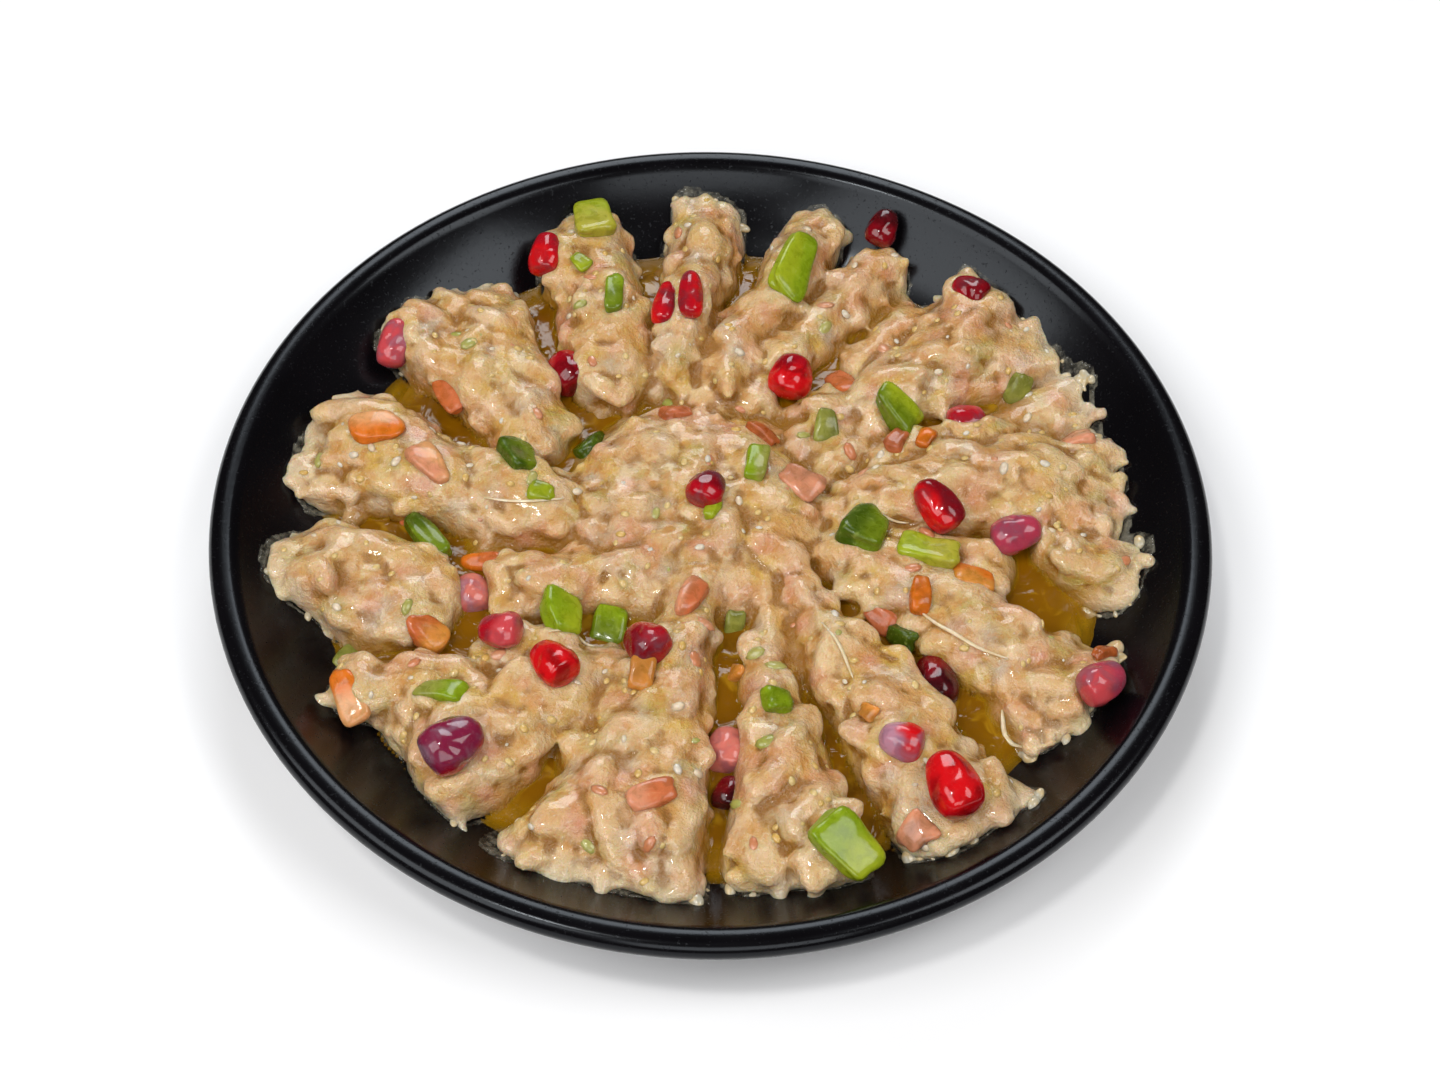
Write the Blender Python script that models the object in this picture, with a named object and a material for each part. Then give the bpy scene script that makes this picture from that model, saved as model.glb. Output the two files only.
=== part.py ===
# Baba ganoush served on a round black coupe plate.
# The dip is one solid, pulled outwards from its middle into petals with grooves between them.
# Pomegranate arils, green pepper and tomato pieces are set into pockets in its top.
# Every length is in millimetres and is turned into metres where a mesh is made.
# Left is -X, the near edge is -Y, and the plate stands on Z = 0 with its middle on the origin.

import math

import bmesh
import bpy
import numpy as np
from mathutils import Matrix, Vector

MM = 0.001

# Plate
PLATE_RADIUS = 100.0
RIM_HEIGHT = 20.0
LIP_WIDTH = 5.4
LIP_ROUND = 2.3
LIP_DROP = 0.8
WELL_RADIUS = 68.0
WELL_FLOOR = 4.0
COUPE_POWER = 1.9
WALL_STEPS = 6
WALL_THICKNESS = 3.4
FOOT_INNER = 51.0
FOOT_OUTER = 58.0
FOOT_RECESS = 1.3
PLATE_SEGMENTS = 60

# Dip
GAP = 0.3
PLATE_CLEARANCE = 0.7
LEAN_LIMIT = 0.45
DIP_LAYER = 2.4
LAYER_REACH = 77.0
LAYER_EDGE = 5.0
DIP_SECTORS = 108
DIP_EDGE_THICKNESS = 0.9
DIP_SEARCH = (95.0, 60.0, 0.25)
RIDGE_WALL = 7.5
RIDGE_CORNER = 4.0
WALL_POWER = 2.3
MOUND_MIDDLE = (-4.0, 4.0)
MOUND_RADIUS = 29.0
MOUND_WALL = 15.0
MOUND_CROWN = 15.5

# Each petal: root x y, tip x y, half width at root and tip, crown height, how far its corners draw back.
PETALS = {
    "far": (-9, 40, -0.5, 90, 6, 9.5, 20.5, 3),
    "far_left": (-21, 38, -31, 84, 10, 12, 18.5, 8),
    "left_upper": (-38, 24, -61, 60, 9, 19.5, 18, 4),
    "left": (-30, 2, -85, 21, 8.5, 16.5, 18, 4),
    "left_lower": (-60, -19, -86, -6, 12, 11, 17.5, 4),
    "left_inner": (-18, -13, -45, -17, 7, 9, 16, 2),
    "left_hollow": (-44, -4, -36, -6, 6, 6, 11.5, 1),
    "near_left": (-22, -37, -56, -60, 8, 17, 17, 3),
    "near_left_root": (-40, -31, -24, -30, 6.5, 7, 14.5, 1),
    "near_left_heel": (-52, -44, -61, -51, 9, 8, 14, 2),
    "near_left_horn": (-45, -40, -73, -40, 8, 7.5, 16.5, 2),
    "near": (-2, -15, -20, -82.5, 5.5, 22.5, 17.5, 2),
    "near_right": (11, -20, 18, -83, 5, 15, 17.5, 2),
    "right_near": (12, -8, 52, -72, 5.5, 16, 17.5, 3),
    "right_lower": (26, -6, 75, -40, 7, 15, 17, 3),
    "right_lower_heel": (62, -40, 72, -47, 8, 8.5, 15.5, 2),
    "right_bridge": (30, -1, 52, -5, 6, 6, 13.5, 1),
    "right_fill": (50, -7, 62, -9, 7, 6.5, 14, 1),
    "right": (30, 8.5, 86, 15, 9, 16.5, 17, 4),
    "right_shoulder": (38, 20, 68, 25, 8, 7, 14.5, 2),
    "right_knob": (72, -3, 87.5, -11, 8, 10.5, 16, 3),
    "right_upper": (35, 35, 67, 58, 8, 20.5, 17.5, 5),
    "right_upper_flank": (31, 45, 47, 64, 5, 8, 16, 2),
    "right_chunk": (66, 32, 81, 36, 7, 8, 15, 2),
    "inner_right": (22, 24, 34, 34, 11, 12, 13.5, 2),
    "inner_far": (-4, 33, 14, 35, 8, 8, 14.5, 1),
    "far_right": (2, 41, 24, 86, 8, 8.5, 19, 4),
    "far_right_fold": (14, 44, 39, 75, 6, 7, 17.5, 4),
}

# Pomegranate arils: x, y, heading in degrees, length, width, depth sunk as a share of the thickness.
ARIL_SIDES = 7
ARIL_TAPER = 0.24
ARIL_FLATTEN = 0.92
ARILS = [
    (36.0, 79.0, 65, 9.0, 6.8, 0.30),
    (-38.0, 69.5, 85, 11.0, 7.2, 0.10),
    (-11.4, 54.6, 85, 13.0, 5.4, 0.15),
    (-5.8, 54.2, 92, 12.5, 5.2, 0.15),
    (-31.5, 39.5, 120, 10.5, 9.0, 0.15),
    (16.0, 39.0, 80, 10.5, 9.0, 0.15),
    (53.0, 30.0, 10, 9.0, 7.2, 0.10),
    (-1.0, 4.6, 70, 8.8, 7.6, 0.15),
    (45.5, 3.2, 128, 12.6, 8.0, 0.20),
    (61.5, -1.8, 15, 11.4, 7.6, -0.20),
    (-47.2, -16.8, 100, 9.4, 8.0, 0.15),
    (-40.5, -29.5, 170, 9.6, 7.6, 0.10),
    (-12.0, -33.5, 130, 9.8, 8.6, 0.15),
    (-29.5, -38.2, 125, 11.0, 8.6, 0.20),
    (44.5, -35.0, 100, 11.8, 8.8, 0.10),
    (75.8, -39.0, 35, 10.4, 7.8, 0.20),
    (-46.7, -58.0, 35, 12.8, 10.4, 0.20),
    (36.8, -54.0, 165, 9.2, 7.6, 0.45),
    (3.9, -52.0, 85, 10.0, 8.6, 0.10),
    (4.8, -61.3, 80, 7.6, 6.8, 0.20),
    (45.8, -64.3, 112, 14.4, 10.0, 0.15),
    (54.5, 62.5, 150, 9.0, 7.0, 0.60),
    (-68.5, 44.5, 78, 12.0, 7.0, 0.35),
]

# Green pepper pieces: x, y, heading, length, width, thickness, depth sunk as a share of the thickness.
SLICE_BOW = 0.06
PEPPERS = [
    (-28.5, 79.0, 110, 13.0, 9.5, 3.4, 0.00),
    (17.5, 65.0, 70, 18.0, 8.0, 3.2, 0.20),
    (-22.4, 56.0, 95, 10.5, 4.5, 3.0, 0.20),
    (38.0, 29.5, 150, 11.0, 8.0, 4.0, 0.00),
    (-40.0, 13.0, 105, 10.5, 7.5, 4.0, 0.00),
    (9.0, 12.6, 85, 9.5, 4.6, 3.4, 0.15),
    (-57.8, -4.0, 125, 14.0, 5.6, 3.4, -1.20),
    (31.0, -2.0, 70, 11.4, 9.5, 4.6, 0.00),
    (43.6, -7.0, 165, 13.0, 7.4, 3.6, -0.20),
    (-19.5, -23.2, 80, 9.5, 7.0, 4.0, 0.10),
    (-28.8, -24.2, 100, 11.5, 7.8, 4.0, 0.10),
    (-50.8, -44.6, 165, 10.5, 5.4, 3.0, 0.25),
    (26.5, -76.5, 140, 13.5, 9.5, 4.2, -0.25),
]

# Tomato and carrot pieces, laid out like the pepper.
TOMATOES = [
    (27.0, 39.5, 120, 11.0, 6.5, 3.4, 0.20),
    (-56.0, 31.5, 120, 9.5, 5.0, 3.2, 0.00),
    (-69.0, 18.0, 20, 11.0, 8.0, 3.4, 0.25),
    (-58.0, 8.5, 120, 11.0, 6.4, 3.2, 0.25),
    (-46.0, -9.4, 175, 9.0, 4.0, 3.2, 0.05),
    (52.5, -12.8, 170, 9.5, 6.0, 3.4, 0.00),
    (-3.6, -21.3, 65, 10.0, 5.0, 3.2, 0.25),
    (-55.0, -28.5, 150, 9.0, 6.5, 3.2, 0.00),
    (-68.5, -44.5, 110, 12.5, 6.0, 3.0, 0.20),
    (-9.5, -67.0, 20, 9.5, 5.5, 3.0, 0.25),
]


def clear_scene():
    for thing in list(bpy.data.objects):
        bpy.data.objects.remove(thing, do_unlink=True)


def finish(name, color, roughness, metallic=0.0):
    material = bpy.data.materials.new(name)
    material.use_nodes = True
    shader = material.node_tree.nodes["Principled BSDF"]
    shader.inputs["Base Color"].default_value = (*color, 1.0)
    shader.inputs["Roughness"].default_value = roughness
    shader.inputs["Metallic"].default_value = metallic
    material.diffuse_color = (*color, 1.0)
    return material


def add_object(name, mesh_tool, material, sharp_degrees=40):
    bmesh.ops.recalc_face_normals(mesh_tool, faces=mesh_tool.faces)
    mesh = bpy.data.meshes.new(name)
    mesh_tool.to_mesh(mesh)
    mesh_tool.free()
    mesh.materials.append(material)
    mesh.shade_smooth()
    mesh.set_sharp_from_angle(angle=math.radians(sharp_degrees))
    thing = bpy.data.objects.new(name, mesh)
    bpy.context.collection.objects.link(thing)
    return thing


def coupe_height(radius):
    # The flat well turns up into the coupe wall beyond WELL_RADIUS and ends just below the lip.
    lip_start = PLATE_RADIUS - LIP_WIDTH
    share = max(0.0, (radius - WELL_RADIUS) / (lip_start - WELL_RADIUS))
    return WELL_FLOOR + (RIM_HEIGHT - LIP_DROP - WELL_FLOOR) * share ** COUPE_POWER


def wall_stations():
    # The radii at which the upper side of the plate's wall bends.
    return np.linspace(WELL_RADIUS, PLATE_RADIUS - LIP_WIDTH, WALL_STEPS)


def plate_top(radius):
    # The plate's faceted upper side, level inside the first station.
    stations = wall_stations()
    return np.interp(radius, stations, [coupe_height(station) for station in stations])


def plate_profile():
    # From the middle of the underside, out to the lip, and back over the top to the middle.
    points = [(FOOT_INNER - 3.0, FOOT_RECESS), (FOOT_INNER, 0.0), (FOOT_OUTER, 0.0)]
    for radius in (FOOT_OUTER + 3.0, 76.0, 84.0, 91.0):
        points.append((radius, coupe_height(radius) - WALL_THICKNESS))
    for degrees in (-45, 0, 45, 90):
        turn = math.radians(degrees)
        radius = PLATE_RADIUS - LIP_ROUND * (1.0 - math.cos(turn))
        points.append((radius, RIM_HEIGHT - LIP_ROUND * (1.0 - math.sin(turn))))
    for radius in wall_stations()[::-1]:
        points.append((float(radius), coupe_height(radius)))
    return points


def make_plate(material):
    tool = bmesh.new()
    rings = []
    for radius, height in plate_profile():
        ring = []
        for step in range(PLATE_SEGMENTS):
            turn = 2.0 * math.pi * step / PLATE_SEGMENTS
            place = (radius * math.cos(turn) * MM, radius * math.sin(turn) * MM, height * MM)
            ring.append(tool.verts.new(place))
        rings.append(ring)
    bridge_rings(tool, rings)
    tool.faces.new(rings[0][::-1])
    tool.faces.new(rings[-1])
    return add_object("plate", tool, material)


def bridge_rings(tool, rings):
    for lower, upper in zip(rings, rings[1:]):
        count = len(lower)
        for step in range(count):
            after = (step + 1) % count
            tool.faces.new((lower[step], lower[after], upper[after], upper[step]))


def soft_lower(first, second, blend):
    # The smaller of two values, rounded where they cross.
    share = np.clip(0.5 + 0.5 * (second - first) / blend, 0.0, 1.0)
    return second + (first - second) * share - blend * share * (1.0 - share)


def wall_shape(inside, rise):
    # 0 at an edge, up steeply and then level, over the distance rise.
    share = np.clip(inside / rise, 0.0, 1.0)
    return (1.0 - (1.0 - share) ** WALL_POWER) ** (1.0 / WALL_POWER)


def petal_inside(petal, x, y):
    # How far a point lies inside a petal's outline, and its place along the petal from 0 to 1.
    root_x, root_y, tip_x, tip_y, root_half, tip_half, _, draw_back = petal
    length = math.hypot(tip_x - root_x, tip_y - root_y)
    along_x = (tip_x - root_x) / length
    along_y = (tip_y - root_y) / length
    along = (x - root_x) * along_x + (y - root_y) * along_y
    across = np.abs((y - root_y) * along_x - (x - root_x) * along_y)
    share = np.clip(along / length, 0.0, 1.0)
    half = root_half + (tip_half - root_half) * share ** 1.3
    side = half - np.hypot(across, np.minimum(along, 0.0))
    end = length - along - draw_back * (across / half) ** 2
    return soft_lower(side, end, RIDGE_CORNER), share


def layer_top(radius):
    # The thin layer of dip in the grooves, which runs out near the plate's wall.
    cover = np.clip((LAYER_REACH - radius) / LAYER_EDGE, 0.0, 1.0)
    return plate_top(radius) + DIP_LAYER * cover ** 0.5


def dip_top(x, y):
    radius = np.hypot(x, y)
    ground = layer_top(radius)
    height = ground
    mound = MOUND_RADIUS - np.hypot(x - MOUND_MIDDLE[0], y - MOUND_MIDDLE[1])
    height = height + (MOUND_CROWN - height) * wall_shape(mound, MOUND_WALL)
    for petal in PETALS.values():
        inside, share = petal_inside(petal, x, y)
        crown = petal[6] - 1.4 * (2.0 * share - 1.1) ** 2
        ridge = ground + np.maximum(crown - ground, 2.0) * wall_shape(inside, RIDGE_WALL)
        height = np.maximum(height, np.where(inside > 0.0, ridge, ground))
    return height


def dip_reach(turn):
    # The furthest radius at which dip still stands on the plate in this direction.
    start, stop, step = DIP_SEARCH
    radius = np.arange(start, stop, -step)
    x = radius * math.cos(turn)
    y = radius * math.sin(turn)
    covered = dip_top(x, y) - plate_top(radius) > DIP_EDGE_THICKNESS
    return float(radius[np.argmax(covered)])


def make_dip(material):
    shares = [0.13, 0.25, 0.36, 0.46, 0.56, 0.66, 0.75, 0.83, 0.9, 0.955]
    under = [78.0, 73.0, 66.0]
    tool = bmesh.new()
    top_rings = [[] for _ in shares]
    edge_high = []
    edge_low = []
    under_rings = [[] for _ in under]
    for step in range(DIP_SECTORS):
        turn = 2.0 * math.pi * (step + 0.5) / DIP_SECTORS
        reach = dip_reach(turn)
        side_x = math.cos(turn)
        side_y = math.sin(turn)
        for ring, share in zip(top_rings, shares):
            radius = reach * share
            top = float(dip_top(radius * side_x, radius * side_y))
            top = max(top, float(plate_top(radius)) + DIP_EDGE_THICKNESS + GAP)
            ring.append(tool.verts.new((radius * side_x * MM, radius * side_y * MM, top * MM)))
        low = float(plate_top(reach)) + GAP
        for ring, height in ((edge_high, low + DIP_EDGE_THICKNESS), (edge_low, low)):
            ring.append(tool.verts.new((reach * side_x * MM, reach * side_y * MM, height * MM)))
        for ring, radius in zip(under_rings, under):
            radius = min(radius, reach - 1.5 * (1 + under.index(radius)))
            low = float(plate_top(radius)) + GAP
            ring.append(tool.verts.new((radius * side_x * MM, radius * side_y * MM, low * MM)))
    bridge_rings(tool, top_rings + [edge_high, edge_low] + under_rings)
    crown = tool.verts.new((0.0, 0.0, float(dip_top(0.0, 0.0)) * MM))
    for step in range(DIP_SECTORS):
        after = (step + 1) % DIP_SECTORS
        tool.faces.new((crown, top_rings[0][after], top_rings[0][step]))
    tool.faces.new(under_rings[-1])
    return add_object("dip", tool, material)


def resting_height(x, y, heading, length, thickness, sunk):
    # The middle height of a piece laid on the dip and pressed in, kept clear of the plate.
    turn = math.radians(heading)
    under = []
    for along in (-0.3, 0.0, 0.3):
        spot_x = x + along * length * math.cos(turn)
        spot_y = y + along * length * math.sin(turn)
        under.append(float(dip_top(spot_x, spot_y)))
    top = sum(under) / len(under) + thickness * (0.5 - sunk)
    outer = math.hypot(x, y) + 0.25 * length
    return max(top, float(plate_top(outer)) + 0.5 * thickness + PLATE_CLEARANCE)


def slope_turn(x, y, spread):
    # Turns a piece so that it lies along the dip's surface, up to a gentle slope.
    rise_x = float(dip_top(x + spread, y) - dip_top(x - spread, y)) / (2.0 * spread)
    rise_y = float(dip_top(x, y + spread) - dip_top(x, y - spread)) / (2.0 * spread)
    steep = math.hypot(rise_x, rise_y)
    limit = min(1.0, LEAN_LIMIT / steep) if steep > 0.0 else 0.0
    normal = Vector((-rise_x * limit, -rise_y * limit, 1.0)).normalized()
    return Vector((0.0, 0.0, 1.0)).rotation_difference(normal).to_matrix().to_4x4()


def place(x, y, z, heading, spread):
    turn = Matrix.Rotation(math.radians(heading), 4, "Z")
    return Matrix.Translation((x * MM, y * MM, z * MM)) @ slope_turn(x, y, spread) @ turn


def aril_mesh(length, width):
    # A kernel whose facets taper towards its stalk end.
    tool = bmesh.new()
    rings = []
    for along in (-0.82, -0.35, 0.2, 0.72):
        swell = (1.0 - abs(along) ** 2.6) ** (1.0 / 2.6) * (1.0 - ARIL_TAPER * along)
        ring = []
        for step in range(ARIL_SIDES):
            turn = 2.0 * math.pi * (step + 0.25 * (along > 0.0)) / ARIL_SIDES
            reach = 0.5 * width * swell * (1.0 + 0.05 * math.cos(2.0 * turn))
            ring.append(tool.verts.new((0.5 * length * along * MM,
                                        reach * math.cos(turn) * MM,
                                        ARIL_FLATTEN * reach * math.sin(turn) * MM)))
        rings.append(ring)
    bridge_rings(tool, rings)
    for ring, end in ((rings[0], -1.0), (rings[-1], 1.0)):
        tip = tool.verts.new((0.5 * length * end * 0.97 * MM, 0.0, 0.0))
        for step in range(ARIL_SIDES):
            after = (step + 1) % ARIL_SIDES
            tool.faces.new((tip, ring[step], ring[after]))
    return tool


def slice_mesh(length, width, thickness):
    # A cut slice: a bowed slab with narrowed ends and a softened upper face.
    tool = bmesh.new()
    rings = []
    for along, narrow, thin in ((-1.0, 0.50, 0.6), (-0.4, 1.0, 1.0), (0.35, 0.94, 1.0), (1.0, 0.34, 0.55)):
        drop = SLICE_BOW * length * along * along
        side = 0.5 * width * narrow
        thick = 0.5 * thickness * thin
        ring = []
        for across, up in ((-1.0, -0.2), (-0.6, 0.95), (0.6, 1.0), (1.0, -0.1), (0.0, -1.0)):
            ring.append(tool.verts.new((0.5 * length * along * MM,
                                        side * across * MM,
                                        (thick * up - drop) * MM)))
        rings.append(ring)
    bridge_rings(tool, rings)
    tool.faces.new(rings[0])
    tool.faces.new(rings[-1])
    return tool


def prism_cutter(length, outline):
    # A straight bar along X over an outline of (y, z) points.
    tool = bmesh.new()
    rings = []
    for end in (-0.5, 0.5):
        x = end * length + math.copysign(GAP, end)
        rings.append([tool.verts.new((x * MM, y * MM, z * MM)) for y, z in outline])
    bridge_rings(tool, rings)
    tool.faces.new(rings[0])
    tool.faces.new(rings[-1])
    return tool


def aril_cutter(length, width):
    # A six-sided bar that holds the kernel with the gap all round.
    widest = 0.5 * width * (1.0 + ARIL_TAPER * 0.35) * 1.05
    reach = (widest + GAP) / math.cos(math.pi / 6.0)
    turns = [math.pi * step / 3.0 for step in range(6)]
    return prism_cutter(length, [(reach * math.cos(turn), reach * math.sin(turn)) for turn in turns])


def slice_cutter(length, width, thickness):
    side = 0.5 * width + GAP
    high = 0.5 * thickness + GAP
    low = -high - SLICE_BOW * length
    return prism_cutter(length, [(-side, low), (side, low), (side, high), (-side, high)])


def add_piece(name, shape, cutter_shape, sizes, spot, material):
    # One topping and the slightly larger bar that makes its pocket in the dip.
    piece = add_object(name, shape(*sizes), material, 50)
    piece.matrix_world = spot
    cutter = add_object("pocket_" + name, cutter_shape(*sizes), material)
    cutter.matrix_world = spot
    return cutter


def make_toppings(finishes):
    cutters = []
    for index, (x, y, heading, length, width, sunk) in enumerate(ARILS):
        sizes = (length, width)
        height = resting_height(x, y, heading, length, ARIL_FLATTEN * width, sunk)
        spot = place(x, y, height, heading, 0.3 * length)
        name = "aril_%02d" % (index + 1)
        cutters.append(add_piece(name, aril_mesh, aril_cutter, sizes, spot, finishes["aril"]))
    for kind, rows in (("pepper", PEPPERS), ("tomato", TOMATOES)):
        for index, (x, y, heading, length, width, thickness, sunk) in enumerate(rows):
            sizes = (length, width, thickness)
            height = resting_height(x, y, heading, length, thickness, sunk)
            spot = place(x, y, height, heading, 0.3 * length)
            name = "%s_%02d" % (kind, index + 1)
            cutters.append(add_piece(name, slice_mesh, slice_cutter, sizes, spot, finishes[kind]))
    return cutters


def cut_pockets(dip, cutters):
    for cutter in cutters:
        cutter.hide_render = True
        cutter.display_type = "WIRE"
        cut = dip.modifiers.new(cutter.name, "BOOLEAN")
        cut.operation = "DIFFERENCE"
        cut.solver = "EXACT"
        cut.object = cutter


def main():
    clear_scene()
    finishes = {
        "plate": finish("black_glaze", (0.006, 0.006, 0.007), 0.22),
        "dip": finish("aubergine_mash", (0.56, 0.39, 0.20), 0.38),
        "aril": finish("pomegranate", (0.36, 0.012, 0.014), 0.12),
        "pepper": finish("green_pepper", (0.21, 0.28, 0.03), 0.25),
        "tomato": finish("tomato", (0.60, 0.20, 0.07), 0.28),
    }
    make_plate(finishes["plate"])
    dip = make_dip(finishes["dip"])
    cut_pockets(dip, make_toppings(finishes))


main()
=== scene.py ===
import itertools
import math
from contextlib import contextmanager

import bmesh
import bpy
import numpy as np
from mathutils import Matrix, Vector, kdtree
from mathutils.bvhtree import BVHTree


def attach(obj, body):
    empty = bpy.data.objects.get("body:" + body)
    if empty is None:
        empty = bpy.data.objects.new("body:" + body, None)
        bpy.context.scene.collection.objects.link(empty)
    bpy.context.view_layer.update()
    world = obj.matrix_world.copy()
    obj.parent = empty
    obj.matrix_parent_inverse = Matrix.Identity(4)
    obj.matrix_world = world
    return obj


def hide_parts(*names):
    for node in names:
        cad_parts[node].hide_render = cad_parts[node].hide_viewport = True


# Looks for a dish of baba ganoush on its black coupe plate.
# Lengths in the design tables are in millimetres, and mm turns them into metres.
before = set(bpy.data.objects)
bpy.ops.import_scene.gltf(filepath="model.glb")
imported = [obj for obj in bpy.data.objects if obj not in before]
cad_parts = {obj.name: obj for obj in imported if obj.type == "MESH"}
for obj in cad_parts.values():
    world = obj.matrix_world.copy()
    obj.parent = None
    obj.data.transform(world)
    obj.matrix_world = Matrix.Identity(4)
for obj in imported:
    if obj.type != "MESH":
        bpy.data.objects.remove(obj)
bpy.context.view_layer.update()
mm = 0.001
weld = 0.01 * mm     # vertices closer than this are one

nodeNames = sorted(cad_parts)
arilNodes = [name for name in nodeNames if name.startswith("aril")]
pepperNodes = [name for name in nodeNames if name.startswith("pepper")]
tomatoNodes = [name for name in nodeNames if name.startswith("tomato")]
print("frame loaded:", len(nodeNames), "solids")


# lens in millimetres, the rest in metres and degrees
cameraSetup = {
    "aim": (0.0018, -0.0099, 0.0200),
    "distance": 0.4742,
    "elevation": 53.37,
    "roll": 1.53,
    "lens": 60.0,
}


def addObject(name, data):
    thing = bpy.data.objects.new(name, data)
    bpy.context.collection.objects.link(thing)
    return thing


def makeCamera(setup):
    lensData = bpy.data.cameras.new("camera")
    lensData.lens = setup["lens"]
    lensData.clip_start = 0.01
    camera = addObject("camera", lensData)
    camera.matrix_world = (Matrix.Translation(setup["aim"])
                           @ Matrix.Rotation(math.radians(90.0 - setup["elevation"]), 4, "X")
                           @ Matrix.Rotation(math.radians(setup["roll"]), 4, "Z")
                           @ Matrix.Translation((0.0, 0.0, setup["distance"])))
    bpy.context.scene.camera = camera


class Wire:
    # an output socket whose sums, differences and products add Math nodes
    def __init__(self, tree, socket):
        self.tree = tree
        self.socket = socket

    def math(self, operation, first, second):
        node = self.tree.nodes.new("ShaderNodeMath")
        node.operation = operation
        for slot, value in zip(node.inputs, (first, second)):
            plugIn(self.tree, slot, value)
        return Wire(self.tree, node.outputs[0])


for sign, operation in (("add", "ADD"), ("sub", "SUBTRACT"), ("mul", "MULTIPLY")):
    setattr(Wire, f"__{sign}__", lambda self, other, kind=operation: self.math(kind, self, other))
    setattr(Wire, f"__r{sign}__", lambda self, other, kind=operation: self.math(kind, other, self))


def plugIn(tree, slot, value):
    if isinstance(value, Wire):
        tree.links.new(value.socket, slot)
    elif slot.type == "RGBA" and len(value) == 3:
        slot.default_value = (*value, 1.0)
    else:
        slot.default_value = value


class NodeMaker:
    # adds nodes to one tree: settings first, then the values or links of the sockets
    def __init__(self, tree):
        self.tree = tree

    def add(self, kind, sockets, output=0, **settings):
        node = self.tree.nodes.new(kind)
        for key, value in settings.items():
            setattr(node, key, value)
        for key, value in sockets.items():
            plugIn(self.tree, node.inputs[key], value)
        return Wire(self.tree, node.outputs[output])


class Finish(NodeMaker):
    # a material in the making; sizes, depths and scatter in millimetres
    def __init__(self, name):
        self.material = bpy.data.materials.new(name)
        self.material.use_nodes = True
        super().__init__(self.material.node_tree)
        self.place = self.add("ShaderNodeTexCoord", {}, "Object")

    def blend(self, share, first, second, mode="MIX"):
        return self.add("ShaderNodeMix", {0: share, 6: first, 7: second}, 2,
                        data_type="RGBA", blend_type=mode)

    def noise(self, size, detail=2.0, roughness=0.5, distortion=0.0):
        return self.add("ShaderNodeTexNoise", {
            "Vector": self.place, "Scale": 1.0 / (size * mm), "Detail": detail,
            "Roughness": roughness, "Distortion": distortion}, "Fac")

    def step(self, value, low, high, first=0.0, second=1.0):
        # smooth step from first to second between two values
        return self.add("ShaderNodeMapRange", {0: value, 1: low, 2: high, 3: first, 4: second},
                        interpolation_type="SMOOTHSTEP")

    def relief(self, strength, depth, height):
        return self.add("ShaderNodeBump", {"Strength": strength, "Distance": depth * mm, "Height": height})

    def attribute(self, name, output="Fac"):
        return self.add("ShaderNodeAttribute", {}, output, attribute_name=name)

    def dyed(self, color, *layers):
        # lays tones over a color, each as far as its field has passed from low to high
        for field, low, high, most, tone in layers:
            color = self.blend(self.step(field, low, high, 0.0, most), color, tone)
        return color

    def dulled(self, field, low, high, first, second, color, tone):
        # the color times a tone, where the field asks for it
        return self.blend(self.step(field, low, high, first, second), color,
                          self.blend(1.0, color, tone, "MULTIPLY"))

    def done(self, color, roughness, bumped=None, coat=(), scatter=(), **others):
        # coat: weight, roughness, index; scatter: weight, size, share of each color
        values = {"Base Color": color, "Roughness": roughness, **others}
        values.update(zip(("Coat Weight", "Coat Roughness", "Coat IOR"), coat))
        if scatter:
            values["Subsurface Weight"], scale, values["Subsurface Radius"] = scatter
            values["Subsurface Scale"] = scale * mm
        if bumped:
            values["Normal"] = bumped
        for key, value in values.items():
            plugIn(self.tree, self.tree.nodes["Principled BSDF"].inputs[key], value)
        return self.material


def startTree(name, **kinds):
    # a Geometry Nodes tree with named inputs, and a wire from each of them
    tree = bpy.data.node_groups.new(name, "GeometryNodeTree")
    kinds = {"Geometry": "Geometry", **kinds, "Finish": "Material"}
    for label, kind in kinds.items():
        tree.interface.new_socket(label, in_out="INPUT", socket_type="NodeSocket" + kind)
    tree.interface.new_socket("Geometry", in_out="OUTPUT", socket_type="NodeSocketGeometry")
    given = tree.nodes.new("NodeGroupInput")
    return tree, NodeMaker(tree), {label: Wire(tree, given.outputs[label]) for label in kinds}


def endTree(tree, maker, shape, finish):
    real = maker.add("GeometryNodeRealizeInstances", {"Geometry": shape})
    done = maker.add("GeometryNodeSetMaterial", {"Geometry": real, "Material": finish})
    result = tree.nodes.new("NodeGroupOutput")
    tree.links.new(done.socket, result.inputs["Geometry"])
    return tree


@contextmanager
def opened(mesh):
    # lends a mesh's editing tool and writes the result back
    tool = bmesh.new()
    tool.from_mesh(mesh)
    yield tool
    tool.to_mesh(mesh)
    tool.free()


def addPiece(name, mesh, material, slotName, *replaced):
    mesh.materials.clear()
    mesh.materials.append(material)
    mesh.shade_smooth()
    piece = addObject(name, mesh)
    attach(piece, "root")
    if replaced:
        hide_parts(*replaced)
    return piece


def meshOf(name, points, faces, edges=(), unit=mm):
    mesh = bpy.data.meshes.new(name)
    mesh.from_pydata((np.asarray(points) * unit).tolist(), edges, faces)
    return mesh


def copiesMesh(name, shapes, faces):
    # one mesh of many shapes that have the same faces
    corners = [faces + len(shapes[0]) * order for order in range(len(shapes))]
    return meshOf(name, np.concatenate(shapes), np.concatenate(corners).tolist())


def shapeOf(tool):
    # points and faces of an editing tool, which is then freed
    points = np.array([vert.co[:] for vert in tool.verts])
    faces = np.array([[vert.index for vert in face.verts] for face in tool.faces])
    tool.free()
    return points, faces


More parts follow.
